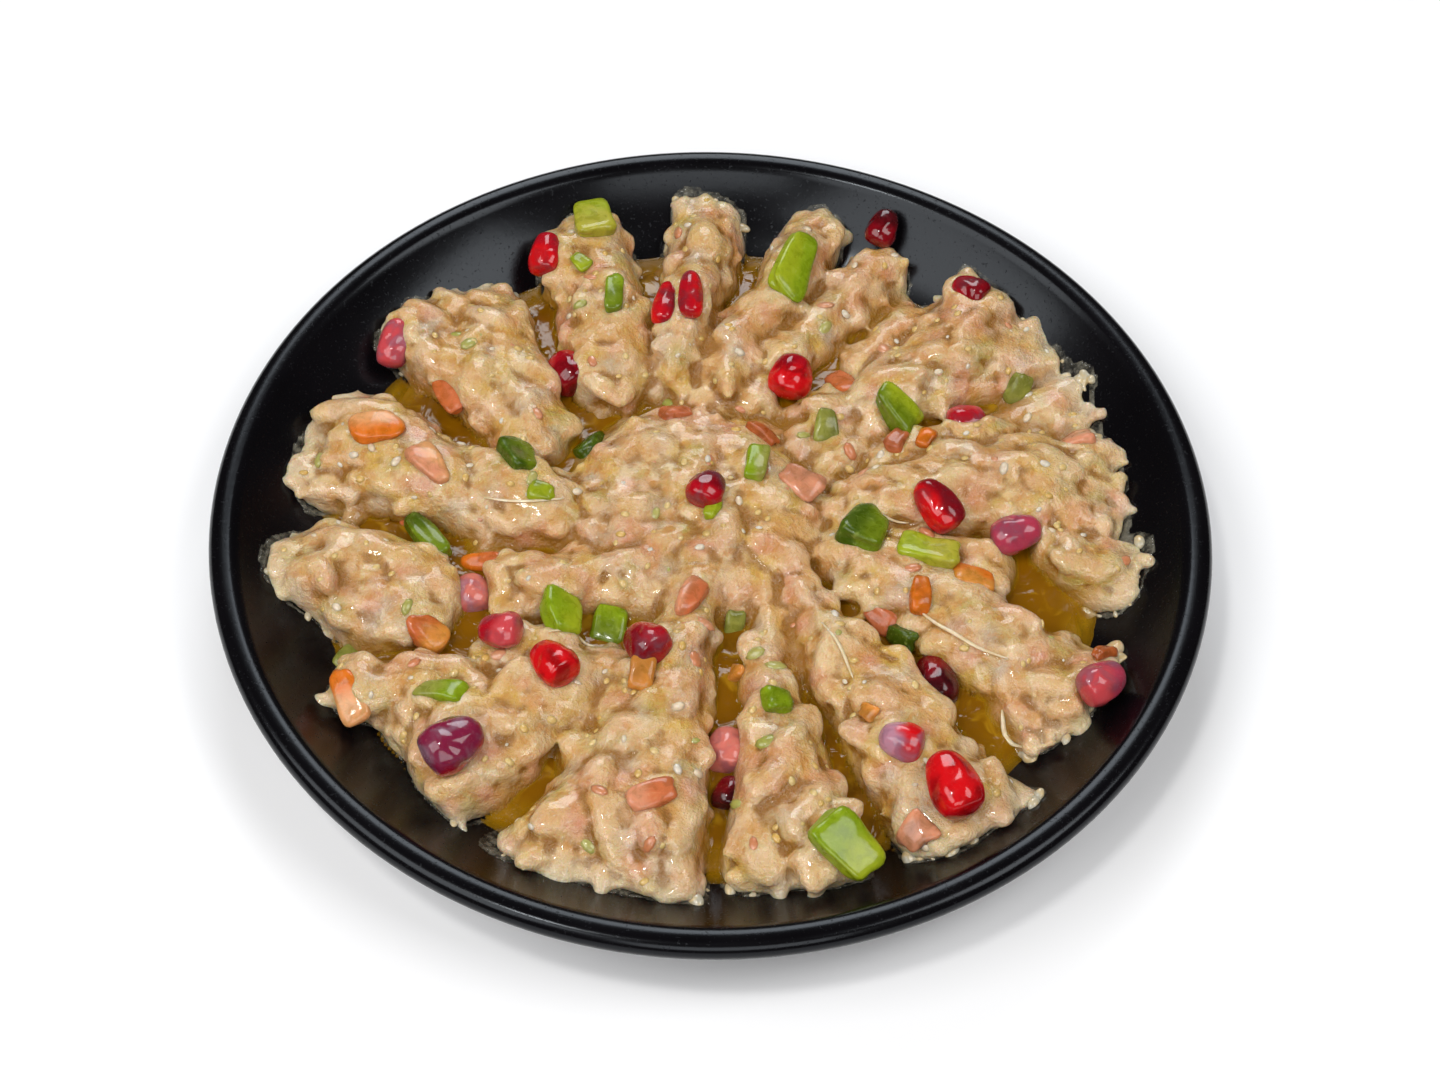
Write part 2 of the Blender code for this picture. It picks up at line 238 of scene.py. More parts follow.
def plainMesh(thing, name):
    # the object as its modifiers leave it, as a mesh of its own
    graph = bpy.context.evaluated_depsgraph_get()
    mesh = bpy.data.meshes.new_from_object(thing.evaluated_get(graph), preserve_all_data_layers=True,
                                           depsgraph=graph)
    mesh.name = name
    old = thing.data
    bpy.data.objects.remove(thing, do_unlink=True)
    if old.users == 0:
        bpy.data.meshes.remove(old)
    return mesh


def gathered(items, key):
    values = np.empty(len(items) * 3, np.float32)
    items.foreach_get(key, values)
    return values.reshape(-1, 3).astype(float)


def pointsOf(mesh):
    return gathered(mesh.vertices, "co")


def normalsOf(mesh):
    return gathered(mesh.vertex_normals, "vector")


def movePoints(mesh, points):
    mesh.vertices.foreach_set("co", points.astype(np.float32).ravel())
    mesh.update()


def storeNumbers(mesh, name, values):
    layer = mesh.attributes.new(name, "FLOAT", "POINT")
    layer.data.foreach_set("value", np.asarray(values, np.float32))


def storeColors(mesh, name, colors):
    layer = mesh.attributes.new(name, "FLOAT_COLOR", "POINT")
    filled = np.column_stack([colors, np.ones(len(colors))])
    layer.data.foreach_set("color", filled.astype(np.float32).ravel())


def cloud(points, size, seed=0):
    # smooth noise from -1 to 1 at points in millimetres
    random = np.random.default_rng(500 + seed)
    table = random.uniform(-1.0, 1.0, (32, 32, 32))
    place = points / size + random.uniform(0.0, 32.0, 3)
    cell = np.floor(place).astype(int)
    part = place - cell
    part = part * part * (3.0 - 2.0 * part)
    total = np.zeros(len(points))
    for corner in itertools.product((0, 1), repeat=3):
        weight = np.prod(np.where(corner, part, 1.0 - part), axis=1)
        spot = (cell + corner) % 32
        total += weight * table[spot[:, 0], spot[:, 1], spot[:, 2]]
    return total


def flatCloud(x, y, size, seed):
    # the same noise over a plan
    flat = np.column_stack([x.ravel(), y.ravel(), np.zeros(x.size)])
    return cloud(flat, size, seed).reshape(x.shape)


def clipped(value):
    return np.clip(value, 0.0, 1.0)


def smoothShare(value, low, high):
    share = clipped((value - low) / (high - low))
    return share * share * (3.0 - 2.0 * share)


def easePoints(mesh, times, strength=0.5):
    # pulls each vertex towards the middle of its neighbours
    ends = np.empty(len(mesh.edges) * 2, np.int32)
    mesh.edges.foreach_get("vertices", ends)
    first = ends[::2]
    second = ends[1::2]
    count = len(mesh.vertices)
    around = np.maximum(np.bincount(first, minlength=count) + np.bincount(second, minlength=count), 1)
    points = pointsOf(mesh)
    for _ in range(times):
        total = np.empty_like(points)
        for axis in range(3):
            total[:, axis] = (np.bincount(first, points[second, axis], count)
                              + np.bincount(second, points[first, axis], count))
        points += strength * (total / around[:, None] - points)
    movePoints(mesh, points)


# a coupe plate: flat well, then a wall that curves up to a rolled lip
plateShape = {
    "radius": 100.0,
    "rim": 20.0,
    "lipWidth": 5.4,
    "lipRound": 2.3,
    "lipDrop": 0.8,
    "wellRadius": 68.0,
    "wellFloor": 4.0,
    "coupePower": 1.9,
    "wall": 3.4,
    "footInner": 51.0,
    "footOuter": 58.0,
    "footRecess": 1.3,
    "footHeight": 0.9,
    "outerReach": 94.0,
    "turns": 180,
}


def plateTop(radius):
    lipStart = plateShape["radius"] - plateShape["lipWidth"]
    share = clipped((radius - plateShape["wellRadius"]) / (lipStart - plateShape["wellRadius"]))
    top = plateShape["rim"] - plateShape["lipDrop"]
    return plateShape["wellFloor"] + (top - plateShape["wellFloor"]) * share ** plateShape["coupePower"]


def plateOutline():
    # under side, rounded foot ring, outer wall, lip, the crest that rolls over, inner wall and well
    shape = plateShape
    edge, rim, roll = shape["radius"], shape["rim"], shape["lipRound"]
    footMiddle = 0.5 * (shape["footInner"] + shape["footOuter"])
    footHalf = 0.5 * (shape["footOuter"] - shape["footInner"])
    points = [(0.0, shape["footRecess"]), (shape["footInner"] - 3.0, shape["footRecess"])]
    points += [(footMiddle + footHalf * math.cos(turn),
                shape["footHeight"] * (1.0 - abs(math.sin(turn)) ** 0.35))
               for turn in np.radians(np.linspace(180.0, 360.0, 9))]
    points += [(radius, plateTop(radius) - shape["wall"])
               for radius in np.linspace(shape["footOuter"] + 3.0, shape["outerReach"], 10)]
    points += [(edge - roll * (1.0 - math.cos(turn)), rim - roll * (1.0 - math.sin(turn)))
               for turn in np.radians(np.linspace(-50.0, 90.0, 12))]
    points += [(edge - roll - share * (shape["lipWidth"] - roll), rim - shape["lipDrop"] * share ** 3.0)
               for share in np.linspace(0.25, 1.0, 6)]
    points += [(radius, plateTop(radius))
               for radius in np.linspace(edge - shape["lipWidth"] - 0.8, shape["wellRadius"] - 3.0, 26)]
    return points + [(40.0, shape["wellFloor"]), (0.0, shape["wellFloor"])]


def latheTree():
    # sweeps the outline round the Z axis
    tree, maker, take = startTree("plateLathe", Turns="Int", Radius="Float")
    outline = maker.add("GeometryNodeMeshToCurve", {"Mesh": take["Geometry"]})
    circle = maker.add("GeometryNodeCurvePrimitiveCircle", {
        "Resolution": take["Turns"], "Radius": take["Radius"]}, mode="RADIUS")
    swept = maker.add("GeometryNodeCurveToMesh", {"Curve": circle, "Profile Curve": outline})
    closed = maker.add("GeometryNodeMergeByDistance", {"Geometry": swept, "Distance": weld})
    return endTree(tree, maker, closed, take["Finish"])


def growWith(tree, base, values, name):
    # runs a node tree on the base mesh with its named inputs, and keeps the plain result
    thing = addObject(name, base)
    grower = thing.modifiers.new(name, "NODES")
    grower.node_group = tree
    for item in tree.interface.items_tree:
        if item.in_out == "INPUT" and item.name in values:
            grower[item.identifier] = values[item.name]
    thing.update_tag()
    return plainMesh(thing, name)


plateFinish = {
    "glaze": (0.0022, 0.0018, 0.0024),
    "roughness": 0.15,
    "shine": 0.26,
    "sheen": (0.86, 0.93, 1.0),
    "peelSize": 2.2,
    "peelDepth": 0.035,
    "speckSize": 0.7,
}


def blackGlaze():
    look = plateFinish
    maker = Finish("blackGlaze")
    broad = maker.noise(22.0, 3.0)
    peel = maker.noise(look["peelSize"], 3.0, 0.6)
    speck = maker.noise(look["speckSize"], 2.0, 0.6)
    pits = maker.step(speck, 0.60, 0.72)
    color = maker.blend(maker.step(broad, 0.35, 0.7), look["glaze"],
                        tuple(1.5 * part for part in look["glaze"]))
    bumped = maker.relief(0.35, look["peelDepth"], peel + 0.5 * broad - 0.3 * pits)
    return maker.done(color, look["roughness"] + 0.08 * broad + 0.20 * pits, bumped, **{
        "IOR": 1.47, "Specular IOR Level": look["shine"], "Specular Tint": look["sheen"]})


def makePlate():
    outline = plateOutline()
    middle = 50.0     # radius of the guide circle, the outline is given from it
    mesh = meshOf("plateOutline", [(radius - middle, -height, 0.0) for radius, height in outline],
                  [], [(step, step + 1) for step in range(len(outline) - 1)])
    glaze = blackGlaze()
    turned = growWith(latheTree(), mesh, {
        "Turns": plateShape["turns"], "Radius": middle * mm, "Finish": glaze}, "plateTurned")
    with opened(turned) as tool:
        bmesh.ops.remove_doubles(tool, verts=tool.verts, dist=weld)
        bmesh.ops.recalc_face_normals(tool, faces=tool.faces)
    piece = addPiece("coupePlate", turned, glaze, "plate", "plate")
    box = [round(value, 4) for value in (*piece.bound_box[0], *piece.bound_box[6])]
    print("plate:", len(turned.polygons), "faces", box)


# the mash: a thin layer, a mound in the middle and the petals pushed out from it
dipShape = {
    "layer": 2.4,
    "layerReach": 77.0,
    "layerEdge": 5.0,
    "ridgeWall": 7.5,
    "ridgeCorner": 4.0,
    "wallPower": 2.3,
    "softWall": 10.5,
    "softPower": 1.75,
    "tipSlope": 0.60,
    "moundMiddle": (-4.0, 4.0),
    "moundRadius": 29.0,
    "moundWall": 15.0,
    "moundCrown": 15.5,
    "saddle": 1.4,
    "bends": ((2.4, 14.0), (1.0, 5.5)),
    "swell": (1.3, 12.0),
    "furrow": (0.9, 9.0),
    "reach": 92.0,
    "gridReach": 95.0,
    "gridStep": 0.8,
    "voxel": 0.74,
    "easing": 5,
    "hiddenShare": 0.93,
    "intoPlate": 1.2,
    "seed": 4,
}

# each petal: root x y, tip x y, half width at root and tip, crown height, how far its corners draw back
petals = [
    (-9, 40, -0.5, 90, 6, 9.5, 20.5, 3),
    (-21, 38, -31, 84, 10, 12, 18.5, 8),
    (-38, 24, -61, 60, 9, 19.5, 18, 4),
    (-30, 2, -85, 21, 8.5, 16.5, 18, 4),
    (-60, -19, -86, -6, 12, 11, 17.5, 4),
    (-18, -13, -45, -17, 7, 9, 16, 2),
    (-44, -4, -36, -6, 6, 6, 11.5, 1),
    (-22, -37, -56, -60, 8, 17, 17, 3),
    (-40, -31, -24, -30, 6.5, 7, 14.5, 1),
    (-52, -44, -61, -51, 9, 8, 14, 2),
    (-45, -40, -73, -40, 8, 7.5, 16.5, 2),
    (-2, -15, -20, -82.5, 5.5, 22.5, 17.5, 2),
    (11, -20, 18, -83, 5, 15, 17.5, 2),
    (12, -8, 52, -72, 5.5, 16, 17.5, 3),
    (26, -6, 75, -40, 7, 15, 17, 3),
    (62, -40, 72, -47, 8, 8.5, 15.5, 2),
    (30, -1, 52, -5, 6, 6, 13.5, 1),
    (50, -7, 62, -9, 7, 6.5, 14, 1),
    (30, 8.5, 86, 15, 9, 16.5, 17, 4),
    (38, 20, 68, 25, 8, 7, 14.5, 2),
    (72, -3, 87.5, -11, 8, 10.5, 16, 3),
    (35, 35, 67, 58, 8, 20.5, 17.5, 5),
    (31, 45, 47, 64, 5, 8, 16, 2),
    (66, 32, 81, 36, 7, 8, 15, 2),
    (22, 24, 34, 34, 11, 12, 13.5, 2),
    (-4, 33, 14, 35, 8, 8, 14.5, 1),
    (2, 41, 24, 86, 8, 8.5, 19, 4),
    (14, 44, 39, 75, 6, 7, 17.5, 4),
]


def softLower(first, second, reach):
    share = clipped(0.5 + 0.5 * (second - first) / reach)
    return second + (first - second) * share - reach * share * (1.0 - share)


def wallShape(inside, rise, power):
    share = clipped(inside / rise)
    return (1.0 - (1.0 - share) ** power) ** (1.0 / power)


def petalInside(petal, x, y, tipSlope):
    # how far a point lies inside a petal's outline, and its place along the petal from 0 to 1
    rootX, rootY, tipX, tipY, rootHalf, tipHalf, _, drawBack = petal
    length = math.hypot(tipX - rootX, tipY - rootY)
    alongX = (tipX - rootX) / length
    alongY = (tipY - rootY) / length
    along = (x - rootX) * alongX + (y - rootY) * alongY
    across = np.abs((y - rootY) * alongX - (x - rootX) * alongY)
    share = clipped(along / length)
    half = rootHalf + (tipHalf - rootHalf) * share ** 1.3
    side = half - np.hypot(across, np.minimum(along, 0.0))
    end = (length - along - drawBack * (across / half) ** 2) * tipSlope
    return softLower(side, end, dipShape["ridgeCorner"]), share


def layerTop(radius):
    cover = clipped((dipShape["layerReach"] - radius) / dipShape["layerEdge"])
    return plateTop(radius) + dipShape["layer"] * cover ** 0.5


def dipTop(x, y):
    # height of the dip, how deep inside a petal the point is, and that petal's heading
    firm, deepest, heading = ridgeTop(x, y, dipShape["ridgeWall"], dipShape["wallPower"], 1.0)
    slumped, _, heading = ridgeTop(x, y, dipShape["softWall"], dipShape["softPower"], dipShape["tipSlope"])
    loose = smoothShare(gapToGarnish(x, y), 0.0, 7.0)
    rise, riseSize = dipShape["swell"]
    fall, fallSize = dipShape["furrow"]
    swell = rise * flatCloud(x, y, riseSize, 52) - fall * np.abs(flatCloud(x, y, fallSize, 53))
    swell *= loose * smoothShare(deepest, 0.5, 5.0)
    return firm + (slumped - firm) * loose + swell, deepest, heading


def ridgeTop(x, y, wall, power, tipSlope):
    # the petals and the mound; slack walls and tips sag under their own weight
    ground = layerTop(np.hypot(x, y))
    middleX, middleY = dipShape["moundMiddle"]
    mound = dipShape["moundRadius"] - np.hypot(x - middleX, y - middleY)
    height = ground + (dipShape["moundCrown"] - ground) * wallShape(mound, dipShape["moundWall"], power)
    deepest = np.clip(mound - 6.0, -20.0, 20.0)
    heading = np.arctan2(y - middleY, x - middleX)
    for petal in petals:
        rootX, rootY, tipX, tipY, *_, crest, _ = petal
        inside, share = petalInside(petal, x, y, tipSlope)
        crown = crest - dipShape["saddle"] * (2.0 * share - 1.1) ** 2
        ridge = ground + np.maximum(crown - ground, 2.0) * wallShape(inside, wall, power)
        ridge = np.where(inside > 0.0, ridge, ground)
        heading = np.where(ridge > height, math.atan2(tipY - rootY, tipX - rootX), heading)
        height = np.maximum(height, ridge)
        deepest = np.maximum(deepest, inside)
    return height, deepest, heading


def solidShape(nodeName):
    # middle, half sizes and directions of a solid, longest direction first
    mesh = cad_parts[nodeName].data
    points = pointsOf(mesh)
    middle = 0.5 * (points.max(0) + points.min(0))
    directions = np.linalg.svd(points - points.mean(0), full_matrices=False)[2]
    directions[2] *= np.sign(np.dot(np.cross(directions[0], directions[1]), directions[2]))
    half = np.abs((points - middle) @ directions.T).max(0)
    return middle, half, directions


def garnishSpot(nodeName):
    # place, half length, half width and heading of a piece of garnish seen from above, in millimetres
    middle, half, directions = solidShape(nodeName)
    heading = math.atan2(directions[0][1], directions[0][0])
    return middle[0] / mm, middle[1] / mm, half[0] / mm, half[1] / mm, heading


garnishSpots = [garnishSpot(name) for name in arilNodes + pepperNodes + tomatoNodes]


def gapToGarnish(x, y):
    gap = np.full(x.shape, 100.0)
    for spotX, spotY, long, wide, heading in garnishSpots:
        along = (x - spotX) * math.cos(heading) + (y - spotY) * math.sin(heading)
        across = (y - spotY) * math.cos(heading) - (x - spotX) * math.sin(heading)
        gap = np.minimum(gap, (np.hypot(along / long, across / wide) - 1.0) * wide)
    return gap


def warped(x, y):
    # pushes places about, so that outlines and ridges run unevenly, but less so under the garnish
    calm = smoothShare(gapToGarnish(x, y), -0.5, 5.0)
    (wide, wideSize), (fine, fineSize) = dipShape["bends"]
    pushX, pushY = [wide * flatCloud(x, y, wideSize, seed) + fine * flatCloud(x, y, fineSize, seed + 1)
                    for seed in (1, 3)]
    return x + calm * pushX, y + calm * pushY


def planGrid(reach, step):
    # x, y and distance from the middle of the points of a square grid
    line = np.arange(-reach, reach, step)
    x, y = np.meshgrid(line, line, indexing="ij")
    return x, y, np.hypot(x, y)


def gridSolid(name, x, y, top, under, solid):
    # closed body over the marked points of a grid, heights in millimetres
    cells = solid[:-1, :-1] & solid[1:, :-1] & solid[:-1, 1:] & solid[1:, 1:]
    count = len(x)
    layer = count * count
    index = np.arange(layer).reshape(count, count)
    corners = [index[:-1, :-1], index[1:, :-1], index[1:, 1:], index[:-1, 1:]]
    quads = np.stack([corner[cells] for corner in corners], 1)
    faces = quads.tolist() + (quads[:, ::-1] + layer).tolist()
    padded = np.pad(cells, 1)
    sides = (((-1, 0), (0, 3)), ((1, 0), (2, 1)), ((0, -1), (1, 0)), ((0, 1), (3, 2)))
    for (shiftI, shiftJ), (first, second) in sides:
        edge = cells & ~padded[1 + shiftI:count + shiftI, 1 + shiftJ:count + shiftJ]
        a = corners[first][edge]
        b = corners[second][edge]
        faces += np.stack([a, b, b + layer, a + layer], 1).tolist()
    mesh = meshOf(name, np.concatenate([
        np.column_stack([x.ravel(), y.ravel(), height.ravel()]) for height in (top, under)]), faces)
    with opened(mesh) as tool:
        loose = [vert for vert in tool.verts if not vert.link_faces]
        bmesh.ops.delete(tool, geom=loose, context="VERTS")
        bmesh.ops.recalc_face_normals(tool, faces=tool.faces)
    return mesh


def clearOfPlate(mesh):
    # lifts whatever reaches too far into the plate
    points = pointsOf(mesh)
    radius = np.hypot(points[:, 0], points[:, 1]) / mm
    points[:, 2] = np.maximum(points[:, 2], (plateTop(radius) - dipShape["intoPlate"]) * mm)
    movePoints(mesh, points)


def bedTop(x, y):
    # height of the dip at its uneven outline, measured from the plate under that spot
    bentX, bentY = warped(x, y)
    return plateTop(np.hypot(x, y)) + dipTop(bentX, bentY)[0] - plateTop(np.hypot(bentX, bentY))


def mashBody():
    x, y, radius = planGrid(dipShape["gridReach"], dipShape["gridStep"])
    under = plateTop(radius)
    top = np.where(radius < dipShape["reach"], bedTop(x, y), under)
    return gridSolid("mashBody", x, y, top, under - 0.3, top - under > 0.7)


lumpKinds = {
    # color, share of the lumps
    "flesh": ((0.610, 0.340, 0.115), 0.42),
    "cream": ((0.710, 0.500, 0.255), 0.19),
    "straw": ((0.620, 0.385, 0.070), 0.13),
    "blush": ((0.610, 0.265, 0.140), 0.11),
    "grey": ((0.500, 0.360, 0.230), 0.09),
    "olive": ((0.440, 0.325, 0.075), 0.08),
}

lumpSizes = [
    # spacing, half length, half width, half thickness, how proud it stands, how much calmer it lies inland
    (7.4, (5.0, 10.0), (2.6, 4.6), (1.9, 3.0), (-0.2, 1.9), 0.10),
    (5.2, (2.2, 4.8), (1.8, 3.3), (1.5, 2.4), (-0.6, 1.5), 0.55),
    (4.0, (1.1, 2.4), (0.9, 1.7), (0.9, 1.3), (-0.7, 0.8), 0.75),
]

# loose bits in the grooves and along the foot of the petals
rubble = {
    "spacing": 2.5,
    "inGroove": 0.34,
    "atEdge": 0.22,
    "size": (0.9, 2.2),
    "proud": (-0.4, 0.9),
}


# bands are in millimetres inside a petal's edge, from a piece of garnish or from the plate's middle
lumpRules = {
    "smallest": 0.45,
    "growBand": (1.2, 4.0),
    "roundBand": (2.0, 6.0),
    "garnishBand": (-1.5, 2.5),
    "outerBand": (60.0, 80.0),
    "innerBand": (46.0, 24.0),
    "innerShare": 0.9,
    "patchShare": 0.6,
    "patchSize": 16.0,
    "straying": 0.75,
}


def scatteredSpots(random, spacing):
    # places of a square grid, each one shifted at random
    line = np.arange(-dipShape["reach"], dipShape["reach"], spacing)
    x, y = [part.ravel() for part in np.meshgrid(line, line)]
    x = x + random.uniform(-0.5, 0.5, len(x)) * spacing
    y = y + random.uniform(-0.5, 0.5, len(x)) * spacing
    return x, y


def scatterLumps(random):
    # middle, half sizes, turn, lean and color of each lump of flesh
    colors = np.array([color for color, share in lumpKinds.values()])
    shares = np.array([share for color, share in lumpKinds.values()])
    rules = lumpRules
    rows = []
    for spacing, *ranges, calm in lumpSizes:
        x, y = scatteredSpots(random, spacing)
        count = len(x)
        height, deep, heading = dipTop(*warped(x, y))
        pick = random.choice(len(shares), count, p=shares / shares.sum())
        size = random.random((count, 4))
        lean = random.uniform(-1.0, 1.0, (count, 3))
        small = rules["smallest"] + (1.0 - rules["smallest"]) * smoothShare(deep, *rules["growBand"])
        roundness = smoothShare(deep, *rules["roundBand"])
        near = smoothShare(gapToGarnish(x, y), *rules["garnishBand"])
        radius = np.hypot(x, y)
        crumbly = smoothShare(radius, *rules["outerBand"])
        crumbly += rules["innerShare"] * smoothShare(radius, *rules["innerBand"])
        crumbly += rules["patchShare"] * flatCloud(x, y, rules["patchSize"], 51)
        near *= 1.0 - calm * (1.0 - clipped(crumbly))
        keep = (deep > 1.0) & (radius < dipShape["reach"] - 3.0) & (near > 0.05)
        for index in np.flatnonzero(keep):
            long, wide, thick, proud = [low + (high - low) * share
                                        for share, (low, high) in zip(size[index], ranges)]
            fit = small[index]
            long = wide + (long - wide) * roundness[index]
            z = height[index] - thick * fit + proud * fit * near[index]
            turn = heading[index] + rules["straying"] * lean[index, 0]
            rows.append(((x[index], y[index], z), (long * fit, wide * fit, thick * fit), turn,
                         lean[index, 1:], colors[pick[index]]))
    return rows + collarLumps(random, colors) + rubbleLumps(random, colors)


def rubbleLumps(random, colors):
    x, y = scatteredSpots(random, rubble["spacing"])
    height, deep, _ = dipTop(*warped(x, y))
    radius = np.hypot(x, y)
    chance = np.where((deep < -0.6) & (radius < 74.0), rubble["inGroove"], 0.0)
    chance = np.where((deep > -1.2) & (deep < 1.4), rubble["atEdge"], chance)
    keep = (random.random(len(x)) < chance) & (radius < dipShape["reach"] - 4.0)
    keep &= gapToGarnish(x, y) > 0.5
    rows = []
    for index in np.flatnonzero(keep):
        size = random.uniform(*rubble["size"])
        proud = random.uniform(*rubble["proud"])
        proud += 1.6 * random.random() * smoothShare(deep[index], -1.2, 1.0)
        rows.append(((x[index], y[index], height[index] - 0.5 * size + proud),
                     (1.35 * size, size, 0.9 * size), random.uniform(0.0, 6.28),
                     random.uniform(-1.0, 1.0, 2), colors[random.integers(len(colors))]))
    return rows


# flesh that has risen around each piece of garnish; the tomato pieces lie level with it
collar = {
    "count": 9,
    "size": (1.0, 2.1),
    "sunk": 0.25,
    "sunkLevel": 0.75,
}


def collarLumps(random, colors):
    rows = []
    proudPieces = len(arilNodes) + len(pepperNodes)
    for order, (spotX, spotY, long, wide, heading) in enumerate(garnishSpots):
        sunk = collar["sunk"] if order < proudPieces else collar["sunkLevel"]
        for turn in random.uniform(0.0, math.tau, collar["count"]):
            size = random.uniform(*collar["size"])
            along = (long + 0.1 * size) * math.cos(turn)
            across = (wide + 0.1 * size) * math.sin(turn)
            x = spotX + along * math.cos(heading) - across * math.sin(heading)
            y = spotY + along * math.sin(heading) + across * math.cos(heading)
            height, deep, _ = [float(part[0]) for part in dipTop(*warped(np.array([x]), np.array([y])))]
            if deep > 1.0:
                rows.append(((x, y, height - sunk * size), (1.5 * size, size, size), heading + turn + 1.57,
                             (0.0, 0.0), colors[random.integers(3)]))
    return rows


def lumpMesh(rows):
    ball = bmesh.new()
    bmesh.ops.create_icosphere(ball, subdivisions=2, radius=1.0)
    base, faces = shapeOf(ball)
    shapes = []
    for middle, size, turn, lean, *_ in rows:
        spin = (Matrix.Rotation(turn, 3, "Z") @ Matrix.Rotation(0.3 * lean[0], 3, "Y")
                @ Matrix.Rotation(0.3 * lean[1], 3, "X"))
        local = base * np.array(size)
        local[:, 1] += 0.4 * lean[0] * size[1] * (base[:, 0] ** 2 - 0.4)
        shapes.append(local @ np.array(spin.transposed()) + np.array(middle))
    return copiesMesh("lumps", shapes, faces)


def joined(meshes, name):
    tool = bmesh.new()
    for mesh in meshes:
        tool.from_mesh(mesh)
        bpy.data.meshes.remove(mesh)
    whole = bpy.data.meshes.new(name)
    tool.to_mesh(whole)
    tool.free()
    return whole


def throughModifier(mesh, kind, settings, shareGroup=None):
    # runs one modifier over a mesh and keeps the plain result
    thing = addObject(mesh.name, mesh)
    if shareGroup is not None:
        group = thing.vertex_groups.new(name="part")
        group.add(shareGroup.tolist(), 1.0, "REPLACE")
    change = thing.modifiers.new(kind.lower(), kind)
    for key, value in settings.items():
        setattr(change, key, value)
    return plainMesh(thing, mesh.name)


def remeshed(mesh, voxel):
    return throughModifier(mesh, "REMESH", {"mode": "VOXEL", "voxel_size": voxel * mm})


def keepLargest(mesh):
    # drops crumbs that stand apart from the main body
    with opened(mesh) as tool:
        left = set(tool.verts)
        groups = []
        while left:
            group = [left.pop()]
            for vert in group:
                fresh = left.intersection(edge.other_vert(vert) for edge in vert.link_edges)
                left -= fresh
                group += fresh
            groups.append(group)
        spare = set(tool.verts).difference(max(groups, key=len))
        bmesh.ops.delete(tool, geom=list(spare), context="VERTS")


# ridged and plain noise on the skin of the mash: height, size, seed
skinRidges = [(0.80, 7.0, 10), (0.16, 3.4, 11)]
skinGrains = [(0.10, 1.7, 8), (0.05, 0.9, 9)]


def roughen(mesh):
    points = pointsOf(mesh)
    normals = normalsOf(mesh)
    flat = points / mm
    radius = np.hypot(flat[:, 0], flat[:, 1])
    free = clipped((flat[:, 2] - plateTop(radius) - 0.2) / 1.0)
    push = sum(height * (np.abs(cloud(flat, size, seed)) - 0.3) for height, size, seed in skinRidges)
    push += sum(height * cloud(flat, size, seed) for height, size, seed in skinGrains)
    push *= 0.25 + 0.75 * smoothShare(gapToGarnish(flat[:, 0], flat[:, 1]), 0.0, 2.5)
    movePoints(mesh, points + normals * (push * free * mm)[:, None])


# where grooves and the pale outer edge fade out, from the plate's middle and above what lies under them
marks = {
    "grooveEnd": 82.0,
    "grooveHeight": 7.0,
    "edgeStart": 72.0,
    "edgeHeight": 6.0,
    "fade": 8.0,
    "blur": 0.05,
    "falloff": 2.5,
}


def tintMesh(mesh, rows):
    # carries each lump's color to the skin around it, and marks grooves and the outer edge
    points = pointsOf(mesh) / mm
    finder = kdtree.KDTree(len(rows))
    for index, row in enumerate(rows):
        finder.insert(row[0], index)
    finder.balance()
    found = [list(zip(*finder.find_n(point, 3))) for point in points]
    which = np.array([near[1] for near in found])
    distance = np.array([near[2] for near in found])
    weight = 1.0 / (marks["blur"] + distance) ** marks["falloff"]
    colors = np.array([row[4] for row in rows])[which]
    storeColors(mesh, "lumpTint", (colors * weight[:, :, None]).sum(1) / weight.sum(1)[:, None])
    x, y, height = points.T
    deep = dipTop(*warped(x, y))[1]
    radius = np.hypot(x, y)
    # the groove mark, from which the mash paints oil colour and shade low down on the petals
    low = clipped(1.0 - (height - layerTop(radius)) / marks["grooveHeight"])
    storeNumbers(mesh, "groove", low * clipped((marks["grooveEnd"] - radius) / marks["fade"]))
    low = clipped(1.0 - (height - plateTop(radius)) / marks["edgeHeight"])
    storeNumbers(mesh, "paleEdge", low * clipped((radius - marks["edgeStart"]) / marks["fade"]))
    room = clipped((deep - 1.0) / 2.0) * (normalsOf(mesh)[:, 2] > 0.3)
    storeNumbers(mesh, "layRoom", room * smoothShare(gapToGarnish(x, y), -1.0, 0.5))


dipFinish = {
    # pale pulp tone, also a painted highlight on lumps and crests
    "milkyAndHighlight": (0.80, 0.61, 0.40),
    "shade": (0.52, 0.215, 0.025),
    # pale flecks that also serve as painted glints
    "speck": (0.82, 0.72, 0.56),
    "stainAndGrooveShade": (0.58, 0.250, 0.130),
    "stale": (0.47, 0.360, 0.090),
    # painted shade for the crevices between lumps
    "hollow": (0.300, 0.120, 0.008),
    # oil-soaked colour with painted shade, low on the petals and deeper in the grooves
    "groove": (0.330, 0.150, 0.009),
    "deep": (0.190, 0.095, 0.007),
    "edge": (0.64, 0.54, 0.37),
    "scatter": 2.8,
    "scatterColor": (1.0, 0.52, 0.20),
    "relief": 0.80,
}


